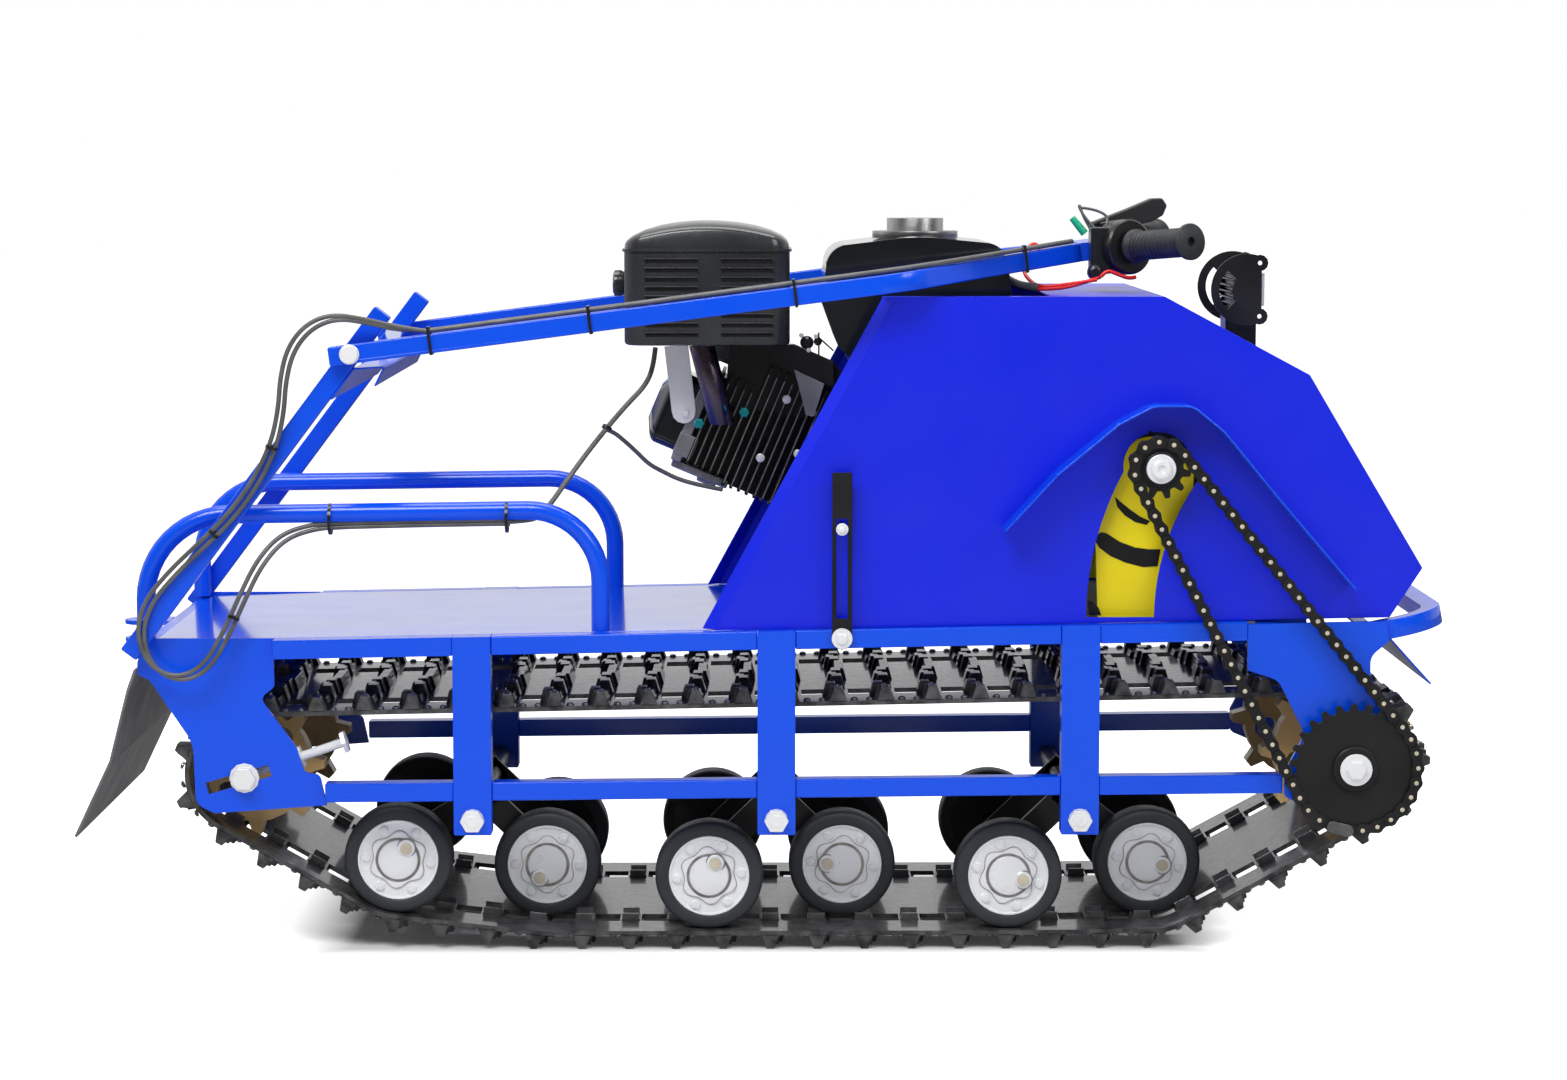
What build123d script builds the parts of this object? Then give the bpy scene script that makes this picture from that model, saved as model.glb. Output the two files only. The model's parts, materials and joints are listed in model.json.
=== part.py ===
from build123d import *
import math
import os

# A walk-behind tracked snow tug: an endless rubber track inside a welded tube frame,
# a single cylinder engine under a tilting hood, and a handle folded over the hood.
# Millimetres, +X to the front, +Z up, the origin on the ground under the middle.

# Frame, around the track
track_width = 380
track_side_gap = 35
rail_half = track_width / 2 + track_side_gap
tube = 20
rail_top = 348
rail_rise_share = 0.0184
low_rail_top = 190
low_rail_rise_share = 0.0087
post_wide = 40
post_proud = 2
post_pitch = 321
middle_post_x = 16
post_foot = 16
pivot_z = 147
plate_thick = 5
strut_gap = 0.3
sheet = 2
fit = 0.3
cut_over = 40
shaft_sides = 12
wheel_sides = 16
cable_sides = 8
drum_sides = 32

# Track
belt_thick = 5
lug_pitch = 50.5
lug_height = 15
lug_base = 20
lug_tip = 11
window_row = 120
window_wide = 36
window_long = 27

# Sprockets and axles
drive_teeth = 9
idler_teeth = 8
sprocket_wide = 26
tooth_height = 14
tooth_base = 17
tooth_tip = 9
sprocket_bore_wall = 22
lightening_dia = 26
lightening_holes = 4
drive_axle_x = 625
drive_axle_z = 204
idler_nominal_x = -537
idler_axle_z = 190
axle_dia = 25
idler_dia = 20
idler_bolt = 12
slot_wide = 13
slot_rear = 40
slot_front = 27
slot_slope_share = 0.29
washer_dia = 32
washer_thick = 3
nut_dia = 26
nut_thick = 9

# Road wheels and bogies
wheel_radius = 58
wheel_wide = 36
rim_dia = 92
outer_wheel_inset = 8
outer_wheel_face = track_width / 2 - outer_wheel_inset
inner_wheel_face = 118
bogie_reach = 72
end_reach = 84
rear_wheel_lift = 18
front_wheel_lift = 2
wheel_axle_dia = 16
pivot_dia = 20
arm_thick = 6
arm_wide = 34
arm_row = 132
dome_dia = 42
dome_rise = 9
rim_web = 5
rim_depth = 8

# Chain drive
chain_pitch = 15.875
chain_outset = 17
chain_row = rail_half + chain_outset
big_teeth = 26
small_teeth = 11
jack_x = 417
jack_z = 521
jack_dia = 22
chain_plate_high = 14
chain_wide = 12
disc_thick = 5
hub_dia = 40
hub_long = 9

# Luggage loops
loop_dia = 20
loop_inset = 31
loop_row = rail_half - loop_inset
loop_rear_inset = 8
loop_front_x = -170
loop_top = 479
loop_rear_bend = 90
loop_front_bend = 76

# Struts and handle
strut_inset = 5
strut_row = rail_half - strut_inset
strut_foot_x = -665
strut_foot_z = 324
strut_head_x = -394
strut_head_z = 684
hinge_z = 641
handle_slope = 7.4
handle_row = strut_row + tube + post_proud
handle_tail = 22
handle_taper = 210
handle_neck = 40
neck_clear = 86
handle_bend = 60
hinge_dia = 12
hinge_head_dia = 19
hinge_head = 8
bar_dia = 22
bar_straight = 52
grip_long = 92
grip_forward = 96
grip_end_row = 167
grip_dia = 31
grip_flange_dia = 40
grip_flange = 5

# Hood
hood_inset = 13
hood_half = rail_half - hood_inset
hood_thick = 2
hood_flange = 12
hood_rear_top_x = 128
hood_front_top_x = 423
hood_brow_x = 576
hood_nose_x = 698
hood_toe_x = 664
hood_heel_x = -63
hood_top_z = 699
hood_brow_z = 617
hood_nose_z = 413
hood_open_front_x = 305
hood_hinge_x = 672
hood_hinge_z = 361
slot_inner = 257
slot_outer = 329
slot_top_turn = 143
guard_deep = 46
guard_thick = 2

# Engine
crank_x = 134
crank_high = 121.5
cylinder_tilt = 23
case_half = 120
case_long = 190
case_high = 215


def slab(face, start, end):
    """A face drawn in X and Z, pushed along Y from start to end."""
    return extrude(Plane.XZ.offset(-start) * face, amount=end - start, dir=(0, 1, 0))


def both(shape):
    """The shape and its mirror image on the other side."""
    return [shape, mirror(shape, about=Plane.XZ)]


def outline(corners):
    """A closed face through (x, z, radius) corners, each one round or sharp."""
    count = len(corners)
    ends = []
    for i, (x, z, radius) in enumerate(corners):
        here = Vector(x, z)
        before = (Vector(*corners[i - 1][:2]) - here).normalized()
        after = (Vector(*corners[(i + 1) % count][:2]) - here).normalized()
        if radius == 0:
            ends.append((here, here, here))
            continue
        half = math.radians(before.get_angle(after)) / 2
        inward = (before + after).normalized()
        centre = here + inward * (radius / math.sin(half))
        reach = radius / math.tan(half)
        ends.append((here + before * reach, centre - inward * radius, here + after * reach))
    edges = []
    for i, (start, middle, end) in enumerate(ends):
        if corners[i][2] != 0:
            edges.append(ThreePointArc(start, middle, end))
        edges.append(Line(end, ends[(i + 1) % count][0]))
    return make_face(edges)


def polygon(*points):
    """A closed face with sharp corners."""
    return make_face(Polyline(*points, close=True))


def bar_face(start, end, wide):
    """A straight bar seen from the side, about the line between two points."""
    run = Vector(*end) - Vector(*start)
    side = Vector(-run.Y, run.X).normalized() * (wide / 2)
    a, b = Vector(*start), Vector(*end)
    return polygon(a - side, b - side, b + side, a + side)


def disc(x, z, dia, sides=shaft_sides):
    """A many-sided disc, which keeps repeated round pieces light."""
    return Pos(x, z) * RegularPolygon(dia / 2, sides)


def pin(x, z, dia, start, end, sides=shaft_sides):
    """A bar along Y."""
    return slab(disc(x, z, dia, sides), start, end)


def spun(x, z, dia, start, end, bore, sides=wheel_sides):
    """A ring along Y with a bore."""
    return slab(disc(x, z, dia, sides) - disc(x, z, bore, sides), start, end)


def swept(points, radii, section):
    """A section swept along straight runs joined by arcs."""
    path = FilletPolyline(*points, radius=radii)
    start = Plane(origin=path @ 0, x_dir=(0, 1, 0), z_dir=path % 0)
    return sweep(start * section, path=path)


def rail_z(x):
    return rail_top + rail_rise_share * x


def low_rail_z(x):
    return low_rail_top + low_rail_rise_share * x


def strut_x(z):
    """Where the middle of a strut is at a height."""
    run_share = (strut_head_x - strut_foot_x) / (strut_head_z - strut_foot_z)
    return strut_foot_x + run_share * (z - strut_foot_z)


hinge_x = strut_x(hinge_z)
case_top = rail_z(crank_x) + case_high
crank_z = rail_z(crank_x) + crank_high


posts_x = [middle_post_x + post_pitch * i for i in (-1, 0, 1)]
wheel_z = lug_height + belt_thick + wheel_radius
wheels = [
    (posts_x[0] - end_reach, wheel_z + rear_wheel_lift, outer_wheel_face),
    (posts_x[0] + bogie_reach, wheel_z, inner_wheel_face),
    (posts_x[1] - bogie_reach, wheel_z, outer_wheel_face),
    (posts_x[1] + bogie_reach, wheel_z, inner_wheel_face),
    (posts_x[2] - bogie_reach, wheel_z, outer_wheel_face),
    (posts_x[2] + end_reach, wheel_z + front_wheel_lift, inner_wheel_face),
]
drive_radius = drive_teeth * lug_pitch / (2 * math.pi)
idler_radius = idler_teeth * lug_pitch / (2 * math.pi)


# The belt's middle line is the tight loop round the sprockets and road wheels
class Loop:
    """A closed tight loop round circles, given anticlockwise as seen from the near side."""

    def __init__(self, circles):
        self.parts = []
        count = len(circles)
        turns = []
        for i in range(count):
            (x0, z0, r0), (x1, z1, r1) = circles[i], circles[(i + 1) % count]
            run = math.hypot(x1 - x0, z1 - z0)
            turns.append(math.atan2(z1 - z0, x1 - x0) + math.asin((r0 - r1) / run) - math.pi / 2)
        for i in range(count):
            x, z, radius = circles[i]
            start = turns[i - 1]
            sweep_angle = (turns[i] - start) % (2 * math.pi)
            x1, z1, r1 = circles[(i + 1) % count]
            ax, az = x + radius * math.cos(turns[i]), z + radius * math.sin(turns[i])
            bx, bz = x1 + r1 * math.cos(turns[i]), z1 + r1 * math.sin(turns[i])
            self.parts.append(("arc", x, z, radius, start, sweep_angle, radius * sweep_angle))
            self.parts.append(("run", ax, az, 0, turns[i], 0, math.hypot(bx - ax, bz - az)))
        self.length = sum(part[6] for part in self.parts)

    def at(self, distance):
        """The point at a distance along the loop, and the outward angle there."""
        left = distance % self.length
        for kind, x, z, radius, angle, turn, length in self.parts:
            if left <= length:
                if kind == "arc":
                    out = angle + left / radius
                    return x + radius * math.cos(out), z + radius * math.sin(out), out
                return x - left * math.sin(angle), z + left * math.cos(angle), angle
            left -= length
        return self.at(0)

    def face(self, outset):
        """The area inside the loop, with its line moved outward."""
        edges = []
        for kind, x, z, radius, angle, turn, length in self.parts:
            if kind == "arc":
                grown = radius + outset
                edges.append(CenterArc((x, z), grown, math.degrees(angle), math.degrees(turn)))
                continue
            shift = Vector(math.cos(angle), math.sin(angle)) * outset
            start = Vector(x, z) + shift
            along = Vector(-math.sin(angle), math.cos(angle))
            edges.append(Line(start, start + along * length))
        return make_face(edges)


def belt_loop(idler_x):
    middle = belt_thick / 2
    return Loop([
        (idler_x, idler_axle_z, idler_radius),
        (wheels[0][0], wheels[0][1], wheel_radius + middle),
        (wheels[1][0], wheels[1][1], wheel_radius + middle),
        (wheels[4][0], wheels[4][1], wheel_radius + middle),
        (wheels[5][0], wheels[5][1], wheel_radius + middle),
        (drive_axle_x, drive_axle_z, drive_radius),
    ])


# The tensioner pulls the idler back until a whole number of lugs closes the belt
lug_count = round(belt_loop(idler_nominal_x).length / lug_pitch)
idler_axle_x = idler_nominal_x
for attempt in range(12):
    idler_axle_x += (belt_loop(idler_axle_x).length - lug_count * lug_pitch) / 2
belt = belt_loop(idler_axle_x)


def windows_near(x, z):
    """The outward angle of the belt window nearest to the far side of an axle."""
    best = None
    for i in range(lug_count):
        px, pz, out = belt.at(i * lug_pitch)
        wrap = math.hypot(px - x, pz - z)
        facing = math.cos(math.atan2(pz - z, px - x) - out)
        if best is None or (wrap / facing if facing > 0 else math.inf) < best[0]:
            best = (wrap / facing if facing > 0 else math.inf, out)
    return best[1]


def track():
    ring = belt.face(belt_thick / 2) - belt.face(-belt_thick / 2)
    lugs = []
    for i in range(lug_count):
        x, z, out = belt.at((i + 1 / 2) * lug_pitch)
        root, tip = 0, belt_thick / 2 + lug_height
        lug = polygon((root, -lug_base / 2), (tip, -lug_tip / 2), (tip, lug_tip / 2), (root, lug_base / 2))
        lugs.append(Pos(x, z) * Rot(0, 0, math.degrees(out)) * lug)
    body = slab(ring + lugs, -track_width / 2, track_width / 2)
    windows = []
    for i in range(lug_count):
        x, z, out = belt.at(i * lug_pitch)
        for row in (-window_row, window_row):
            hole = Box(belt_thick + cut_over, window_wide, window_long)
            windows.append(Pos(x, row, z) * Rot(0, -math.degrees(out), 0) * hole)
    return body - windows


def toothed(x, z, teeth, radius, first):
    """A track sprocket's outline: a disc with teeth and round windows."""
    root = radius - belt_thick / 2 - fit
    face = Rot(0, 0, math.degrees(first)) * RegularPolygon(root, 3 * teeth)
    tip = root + tooth_height
    tooth = polygon((0, -tooth_base / 2), (root, -tooth_base / 2), (tip, -tooth_tip / 2),
                    (tip, tooth_tip / 2), (root, tooth_base / 2), (0, tooth_base / 2))
    for i in range(teeth):
        face += Rot(0, 0, math.degrees(first) + 360 * i / teeth) * tooth
    middle = (root + sprocket_bore_wall) / 2
    for i in range(lightening_holes):
        turn = math.degrees(first) + 360 * (i + 1 / 2) / lightening_holes
        face -= Rot(0, 0, turn) * disc(middle, 0, lightening_dia)
    return Pos(x, z) * face


def sprocket_pair(x, z, teeth, radius, bore):
    first = windows_near(x, z)
    face = toothed(x, z, teeth, radius, first) - disc(x, z, bore + fit)
    return both(slab(face, window_row - sprocket_wide / 2, window_row + sprocket_wide / 2))


def drive_axle():
    near = -(chain_row + disc_thick / 2 + fit)
    bar = pin(drive_axle_x, drive_axle_z, axle_dia, near, rail_half + washer_thick)
    ends = []
    for face, side in ((near, -1), (rail_half + washer_thick, 1)):
        washer = pin(drive_axle_x, drive_axle_z, washer_dia, *sorted((face, face + side * washer_thick)))
        outer = face + side * washer_thick
        nut = Pos(drive_axle_x, drive_axle_z) * RegularPolygon(nut_dia / 2, 6)
        ends += [washer, slab(nut, *sorted((outer, outer + side * nut_thick / 2)))]
    return [bar + ends]


plate_inner = strut_row - tube / 2 - plate_thick


def idler_axle():
    bar = pin(idler_axle_x, idler_axle_z, idler_dia, -(plate_inner - fit), plate_inner - fit)
    outer = plate_inner + plate_thick
    bolt = pin(idler_axle_x, idler_axle_z, idler_bolt, 0, outer + washer_thick)
    bolt += pin(idler_axle_x, idler_axle_z, washer_dia, outer, outer + washer_thick)
    nut = Pos(idler_axle_x, idler_axle_z) * RegularPolygon(nut_dia / 2, 6)
    bolt += slab(nut, outer + washer_thick, outer + washer_thick + nut_thick)
    return [bar + both(bolt)]


def tyre(x, z, face):
    return spun(x, z, 2 * (wheel_radius - fit), face - wheel_wide, face, rim_dia)


def rim(x, z, face):
    """A pressed wheel disc, set back from the tyre's face, with a domed middle."""
    front = face - rim_depth
    back = front - rim_web
    hub = spun(x, z, dome_dia, back - dome_rise, front + dome_rise / 2, wheel_axle_dia + fit, shaft_sides)
    plate = disc(x, z, rim_dia, wheel_sides) - disc(x, z, wheel_axle_dia + fit)
    return slab(plate, back, front) + hub


def bogie(i):
    """Two rocking arms on a cross shaft, with an axle for each pair of wheels."""
    x = posts_x[i]
    pair = wheels[2 * i:2 * i + 2]
    reach = rail_half - tube - post_proud
    solids = [pin(x, pivot_z, pivot_dia, -reach, reach)]
    arm = disc(x, pivot_z, arm_wide)
    for wx, wz, face in pair:
        arm += disc(wx, wz, arm_wide)
        arm += bar_face((x, pivot_z), (wx, wz), arm_wide)
        end = max(face, arm_row + arm_thick)
        solids.append(pin(wx, wz, wheel_axle_dia, -end, end))
        arm -= disc(wx, wz, wheel_axle_dia + fit)
    arm -= disc(x, pivot_z, pivot_dia + fit)
    return solids + both(slab(arm, arm_row - arm_thick / 2, arm_row + arm_thick / 2))


def spans(first, last):
    """The rail lengths left between the posts."""
    edges = [first]
    for x in posts_x:
        edges += [x - post_wide / 2, x + post_wide / 2]
    edges.append(last)
    return zip(edges[0::2], edges[1::2])


def rails(height, first, last):
    solids = []
    for start, end in spans(first, last):
        face = bar_face((start, height(start) - tube / 2), (end, height(end) - tube / 2), tube)
        face &= Pos((start + end) / 2, height(start)) * Rectangle(end - start, 4 * tube)
        solids += both(slab(face, rail_half - tube, rail_half))
    return solids


def posts():
    solids = []
    for x in posts_x:
        left, right = x - post_wide / 2, x + post_wide / 2
        foot = pivot_z - post_foot
        face = outline([(left, foot, post_proud), (right, foot, post_proud),
                        (right, rail_z(right), 0), (left, rail_z(left), 0)])
        solids += both(slab(face, rail_half - tube - post_proud, rail_half + post_proud))
    return solids


def post_bolts():
    solids = []
    face = rail_half + post_proud
    for x in posts_x:
        head = Pos(x, pivot_z) * RegularPolygon(nut_dia / 2, 6)
        solids += both(slab(head, face, face + nut_thick))
    return solids


# Side plates at the ends of the rails, as shares of their length and height
rear_plate_back = 122
rear_plate_x = idler_nominal_x - rear_plate_back
rear_plate_z = 152
rear_plate_long = 198
rear_plate_high = 187
rear_plate_shares = [
    (0.03, 1.00, 0), (0.727, 1.00, 0), (0.727, 0.72, 0.03), (0.65, 0.66, 0.04), (0.84, 0.38, 0.15),
    (0.885, 0.23, 0.04), (0.965, 0.22, 0.04), (1.00, 0.045, 0), (0.40, 0.00, 0), (0.30, 0.05, 0.08),
    (0.29, 0.40, 0.2), (0.06, 0.77, 0.1), (0.00, 0.79, 0.03), (0.00, 0.86, 0),
]
front_plate_back = 112
front_plate_x = drive_axle_x - front_plate_back
front_plate_z = 150
front_plate_long = 162
front_plate_high = 208
low_front_share = 0.24
front_plate_shares = [
    (0.00, 0.986, 0), (0.90, 1.00, 0), (0.92, 0.90, 0.03), (0.80, 0.82, 0.1), (0.80, 0.72, 0.08),
    (0.97, 0.45, 0.2), (0.93, 0.05, 0.2), (0.55, 0.00, 0.15), (0.25, 0.10, 0.05), (0.25, 0.23, 0),
    (0.38, 0.42, 0.1), (0.20, 0.70, 0.12), (0.00, 0.75, 0),
]


# The rails run from one plate to the other
top_rail_rear = rear_plate_x + rear_plate_long * rear_plate_shares[1][0]
top_rail_front = front_plate_x
low_rail_rear = rear_plate_x + rear_plate_long
low_rail_front = front_plate_x + front_plate_long * low_front_share


def shaped_corners(shares, x, z, long, high):
    """Corners from rows of length share, height share and radius as a share of the length."""
    return [(x + a * long, z + b * high, r * long) for a, b, r in shares]


def shaped(shares, x, z, long, high):
    return outline(shaped_corners(shares, x, z, long, high))


def rear_plates():
    face = shaped(rear_plate_shares, rear_plate_x, rear_plate_z, rear_plate_long, rear_plate_high)
    slot = bar_face((idler_axle_x - slot_rear, idler_axle_z - slot_rear * slot_slope_share),
                    (idler_axle_x + slot_front, idler_axle_z + slot_front * slot_slope_share), slot_wide)
    return both(slab(face - slot, plate_inner, plate_inner + plate_thick))


def front_plates():
    face = shaped(front_plate_shares, front_plate_x, front_plate_z, front_plate_long, front_plate_high)
    face -= disc(drive_axle_x, drive_axle_z, axle_dia + 2 * fit)
    return both(slab(face, rail_half - plate_thick, rail_half))


post_inner = rail_half - tube - post_proud
cross_places = [(strut_foot_x + tube, rail_half - tube), (posts_x[0], post_inner), (posts_x[1], post_inner),
                (posts_x[2], post_inner), (front_plate_x + tube, rail_half - plate_thick)]
rail_tilt = math.degrees(math.atan(rail_rise_share))


def cross_members():
    solids = []
    for x, half in cross_places:
        face = Pos(x, rail_z(x) - sheet - fit - tube / 2) * Rot(0, 0, rail_tilt) * Rectangle(tube, tube)
        solids.append(slab(face, -half, half))
    return solids


deck_rear_inset = 19
deck_rear = rear_plate_x + deck_rear_inset
deck_front = front_plate_x + 2 * tube


def deck():
    face = bar_face((deck_rear, rail_z(deck_rear) - sheet / 2), (deck_front, rail_z(deck_front) - sheet / 2),
                    sheet)
    return [slab(face, -(post_inner - fit), post_inner - fit)]


def luggage_loop(side):
    row = side * loop_row
    loop_rear_x = rear_plate_x + loop_rear_inset
    top = loop_top - loop_dia / 2
    points = [(loop_rear_x, row, rail_z(loop_rear_x) + fit), (loop_rear_x, row, top),
              (loop_front_x, row, top + rail_rise_share * (loop_front_x - loop_rear_x)),
              (loop_front_x, row, rail_z(loop_front_x) + fit)]
    return [swept(points, [loop_rear_bend, loop_front_bend], RegularPolygon(loop_dia / 2, shaft_sides))]


def struts():
    face = bar_face((strut_foot_x, strut_foot_z), (strut_head_x, strut_head_z), tube)
    face -= disc(hinge_x, hinge_z, hinge_dia + 2 * fit)
    return both(slab(face, strut_row - tube / 2, strut_row + tube / 2))


brace_long = 40
brace_top = 32
brace_lip = 20
brace_drop = 12


def strut_brace():
    """A folded plate across the front faces of the struts, below the hinge."""
    lean = math.atan2(strut_head_z - strut_foot_z, strut_head_x - strut_foot_x)
    along = Vector(math.cos(lean), math.sin(lean))
    across = Vector(math.sin(lean), -math.cos(lean))
    top = Vector(hinge_x, hinge_z) - along * brace_drop + across * ((tube + sheet) / 2 + fit / 2)
    low = top - along * brace_long
    nose = top + Vector(brace_top, sheet)
    points = [(low.X, 0, low.Y), (top.X, 0, top.Y), (nose.X, 0, nose.Y),
              (nose.X - brace_lip / 2, 0, nose.Y - brace_lip)]
    return [swept(points, sheet, Rectangle(2 * strut_row + tube, sheet))]


bumper_start = 15
bumper_x = drive_axle_x + bumper_start
bumper_reach = 89
bumper_z = 344
bumper_slope = 11
bumper_bend = 50
bumper_row = rail_half - plate_thick - tube / 2


def bumper():
    tilt = math.radians(bumper_slope)
    rise = math.tan(tilt)
    reach = bumper_x + bumper_reach - tube / 2 * (math.cos(tilt) + math.sin(tilt))
    tip_z = bumper_z + rise * (reach - bumper_x)
    points = [(bumper_x, -bumper_row, bumper_z), (reach, -bumper_row, tip_z),
              (reach, bumper_row, tip_z), (bumper_x, bumper_row, bumper_z)]
    return [swept(points, bumper_bend, Rectangle(tube, tube))]


flap_thick = 3
front_flap_inset = 23
rear_flap_inset = 13
front_flap_flange = 14
front_flap_start = 12
front_flap_tip = 71
front_flap_low = 288
rear_flap_shares = [(0.0, 1.0), (0.12, 0.88), (0.42, 0.45), (1.0, 0.0)]
rear_flap_x = rear_plate_x - flap_thick / 2 - 2 * fit
rear_flap_reach = 68
rear_flap_z = 306
rear_flap_low = 127


def front_flap():
    """A bent sheet from under the bumper down towards the track."""
    rise = math.tan(math.radians(bumper_slope))
    under = (tube + sheet) / 2 / math.cos(math.radians(bumper_slope)) + fit
    points = [(bumper_x + front_flap_start, 0, bumper_z + rise * front_flap_start - under),
              (bumper_x + front_flap_start + front_flap_flange, 0,
               bumper_z + rise * (front_flap_start + front_flap_flange) - under),
              (bumper_x + front_flap_tip, 0, front_flap_low)]
    return [swept(points, sheet * 2, Rectangle(2 * (rail_half - front_flap_inset), sheet))]


def rear_flap():
    high = rear_flap_z - rear_flap_low
    points = [(rear_flap_x - a * (rear_flap_reach - flap_thick / 2), 0, rear_flap_low + b * high)
              for a, b in rear_flap_shares]
    wide = 2 * (rail_half - rear_flap_inset)
    return [swept(points, flap_thick * 3, Rectangle(wide, flap_thick))]


hitch_reach = 29
hitch_x = rear_plate_x - hitch_reach
hitch_wide = 40
hitch_bore = 14
hitch_gap = 15


def tow_hitch():
    solids = []
    bar = cross_places[0][0]
    top = rail_z(bar - tube / 2) - sheet - fit
    back = bar - tube / 2 - fit
    for level in (top, top - hitch_gap - plate_thick):
        ear = Pos((hitch_x + back) / 2, 0) * Rectangle(back - hitch_x, hitch_wide)
        ear += disc(hitch_x, 0, hitch_wide)
        ear -= Pos(hitch_x, 0) * Circle(hitch_bore / 2)
        solids.append(Pos(0, 0, level - plate_thick) * extrude(ear, amount=plate_thick))
    return solids


# Chain drive on the near side
big_radius = chain_pitch / (2 * math.sin(math.pi / big_teeth))
small_radius = chain_pitch / (2 * math.sin(math.pi / small_teeth))
chain_loop = Loop([(drive_axle_x, drive_axle_z, big_radius), (jack_x, jack_z, small_radius)])
link_count = 2 * round(chain_loop.length / chain_pitch / 2)
link_pitch = chain_loop.length / link_count


def chain():
    """The closed roller chain as one band, with a corner at each pin."""
    points = []
    for side in (1, -1):
        row = []
        for i in range(link_count):
            x, z, out = chain_loop.at(i * link_pitch)
            edge = side * chain_plate_high / 2
            row.append((x + edge * math.cos(out), z + edge * math.sin(out)))
        points.append(row)
    band = polygon(*points[0]) - polygon(*points[1])
    return [slab(band, -(chain_row + chain_wide / 2), -(chain_row - chain_wide / 2))]


def chain_disc(x, z, radius, teeth, bore):
    """A chain sprocket inside its chain, with a hub on the machine's side."""
    inside = (radius - chain_plate_high / 2) * math.cos(math.pi / teeth) - fit
    edge = RegularPolygon(inside, 2 * teeth) - disc(0, 0, bore + fit)
    hub = disc(0, 0, hub_dia) - disc(0, 0, bore + fit)
    inner = -(chain_row - disc_thick / 2)
    plate = slab(Pos(x, z) * edge, inner - disc_thick, inner)
    return [plate + slab(Pos(x, z) * hub, inner, inner + hub_long)]


support_inset = 20
support_row = hood_half - support_inset
support_thick = 6
support_shares = [
    (0.10, 0.00, 0), (0.95, 0.00, 0), (1.00, 0.80, 0.25), (0.60, 1.00, 0.3), (0.05, 0.75, 0.2),
]
support_x = 346
support_long = 112
support_high = 205
pulley_row = 150
pulley_wide = 24
big_pulley_dia = 190
small_pulley_dia = 120
pulley_groove = 9


def jackshaft():
    reach = chain_row + disc_thick / 2 + fit
    bar = pin(jack_x, jack_z, jack_dia, -reach, support_row)
    nut = Pos(jack_x, jack_z) * RegularPolygon(nut_dia / 2, 6)
    return [bar + slab(nut, -(reach + nut_thick / 2), -reach)]


def jack_supports():
    foot = rail_z(support_x + support_long) + fit
    face = shaped(support_shares, support_x, foot, support_long, support_high)
    face -= disc(jack_x, jack_z, jack_dia + fit)
    return both(slab(face, support_row - support_thick, support_row))


def pulley(x, z, dia, bore):
    """A belt pulley of two rims about a lower middle."""
    half = pulley_wide / 2
    groove = pulley_wide / 6 + fit
    solid = spun(x, z, dia - 2 * pulley_groove, -half, half, bore + fit, drum_sides)
    hole = dia - 3 * pulley_groove
    for start, end in ((-half, -groove), (groove, half)):
        solid += spun(x, z, dia, start, end, hole, drum_sides)
    return Pos(0, -pulley_row, 0) * solid


def pulleys():
    """The big pulley on the jackshaft, and the small one with its end of the crankshaft."""
    shaft = pin(crank_x, crank_z, hub_dia, -(pulley_row + pulley_wide / 2 + fit), -case_half)
    return [pulley(jack_x, jack_z, big_pulley_dia, jack_dia),
            pulley(crank_x, crank_z, small_pulley_dia, axle_dia) + shaft]


def drive_belt():
    inset = pulley_groove * 3 / 4
    loop = Loop([(crank_x, crank_z, small_pulley_dia / 2 - inset / 2),
                 (jack_x, jack_z, big_pulley_dia / 2 - inset / 2)])
    ring = loop.face(inset / 2) - loop.face(-inset / 2 + fit)
    return [slab(ring, -(pulley_row + pulley_wide / 6), -(pulley_row - pulley_wide / 6))]


def hood_foot(x):
    return rail_z(x) + fit


def hood_faces():
    """The hood's side outline and the inside one, open past the rear and the foot."""
    toe_z = hood_foot(hood_toe_x)
    outer = [(hood_toe_x, toe_z), (hood_nose_x, hood_nose_z), (hood_brow_x, hood_brow_z),
             (hood_front_top_x, hood_top_z), (hood_rear_top_x, hood_top_z)]
    whole = polygon((hood_heel_x, hood_foot(hood_heel_x)), *outer)
    inner = []
    for before, here, after in zip(outer, outer[1:], outer[2:]):
        inner.append(inset_corner(before, here, after, hood_thick))
    first = inset_corner((hood_toe_x, toe_z - cut_over), outer[0], outer[1], hood_thick)
    past = hood_heel_x - cut_over
    points = [(past, toe_z - cut_over), (first[0], toe_z - cut_over), first, *inner]
    return whole, polygon(*points, (past, hood_top_z - hood_thick))


def inset_corner(before, here, after, inset):
    """A corner moved inward by the same distance from both of its edges."""
    a = (Vector(*here) - Vector(*before)).normalized()
    b = (Vector(*after) - Vector(*here)).normalized()
    left = Vector(-a.Y, a.X) + Vector(-b.Y, b.X)
    move = left * (inset / (1 + a.dot(b)))
    return here[0] + move.X, here[1] + move.Y


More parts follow.
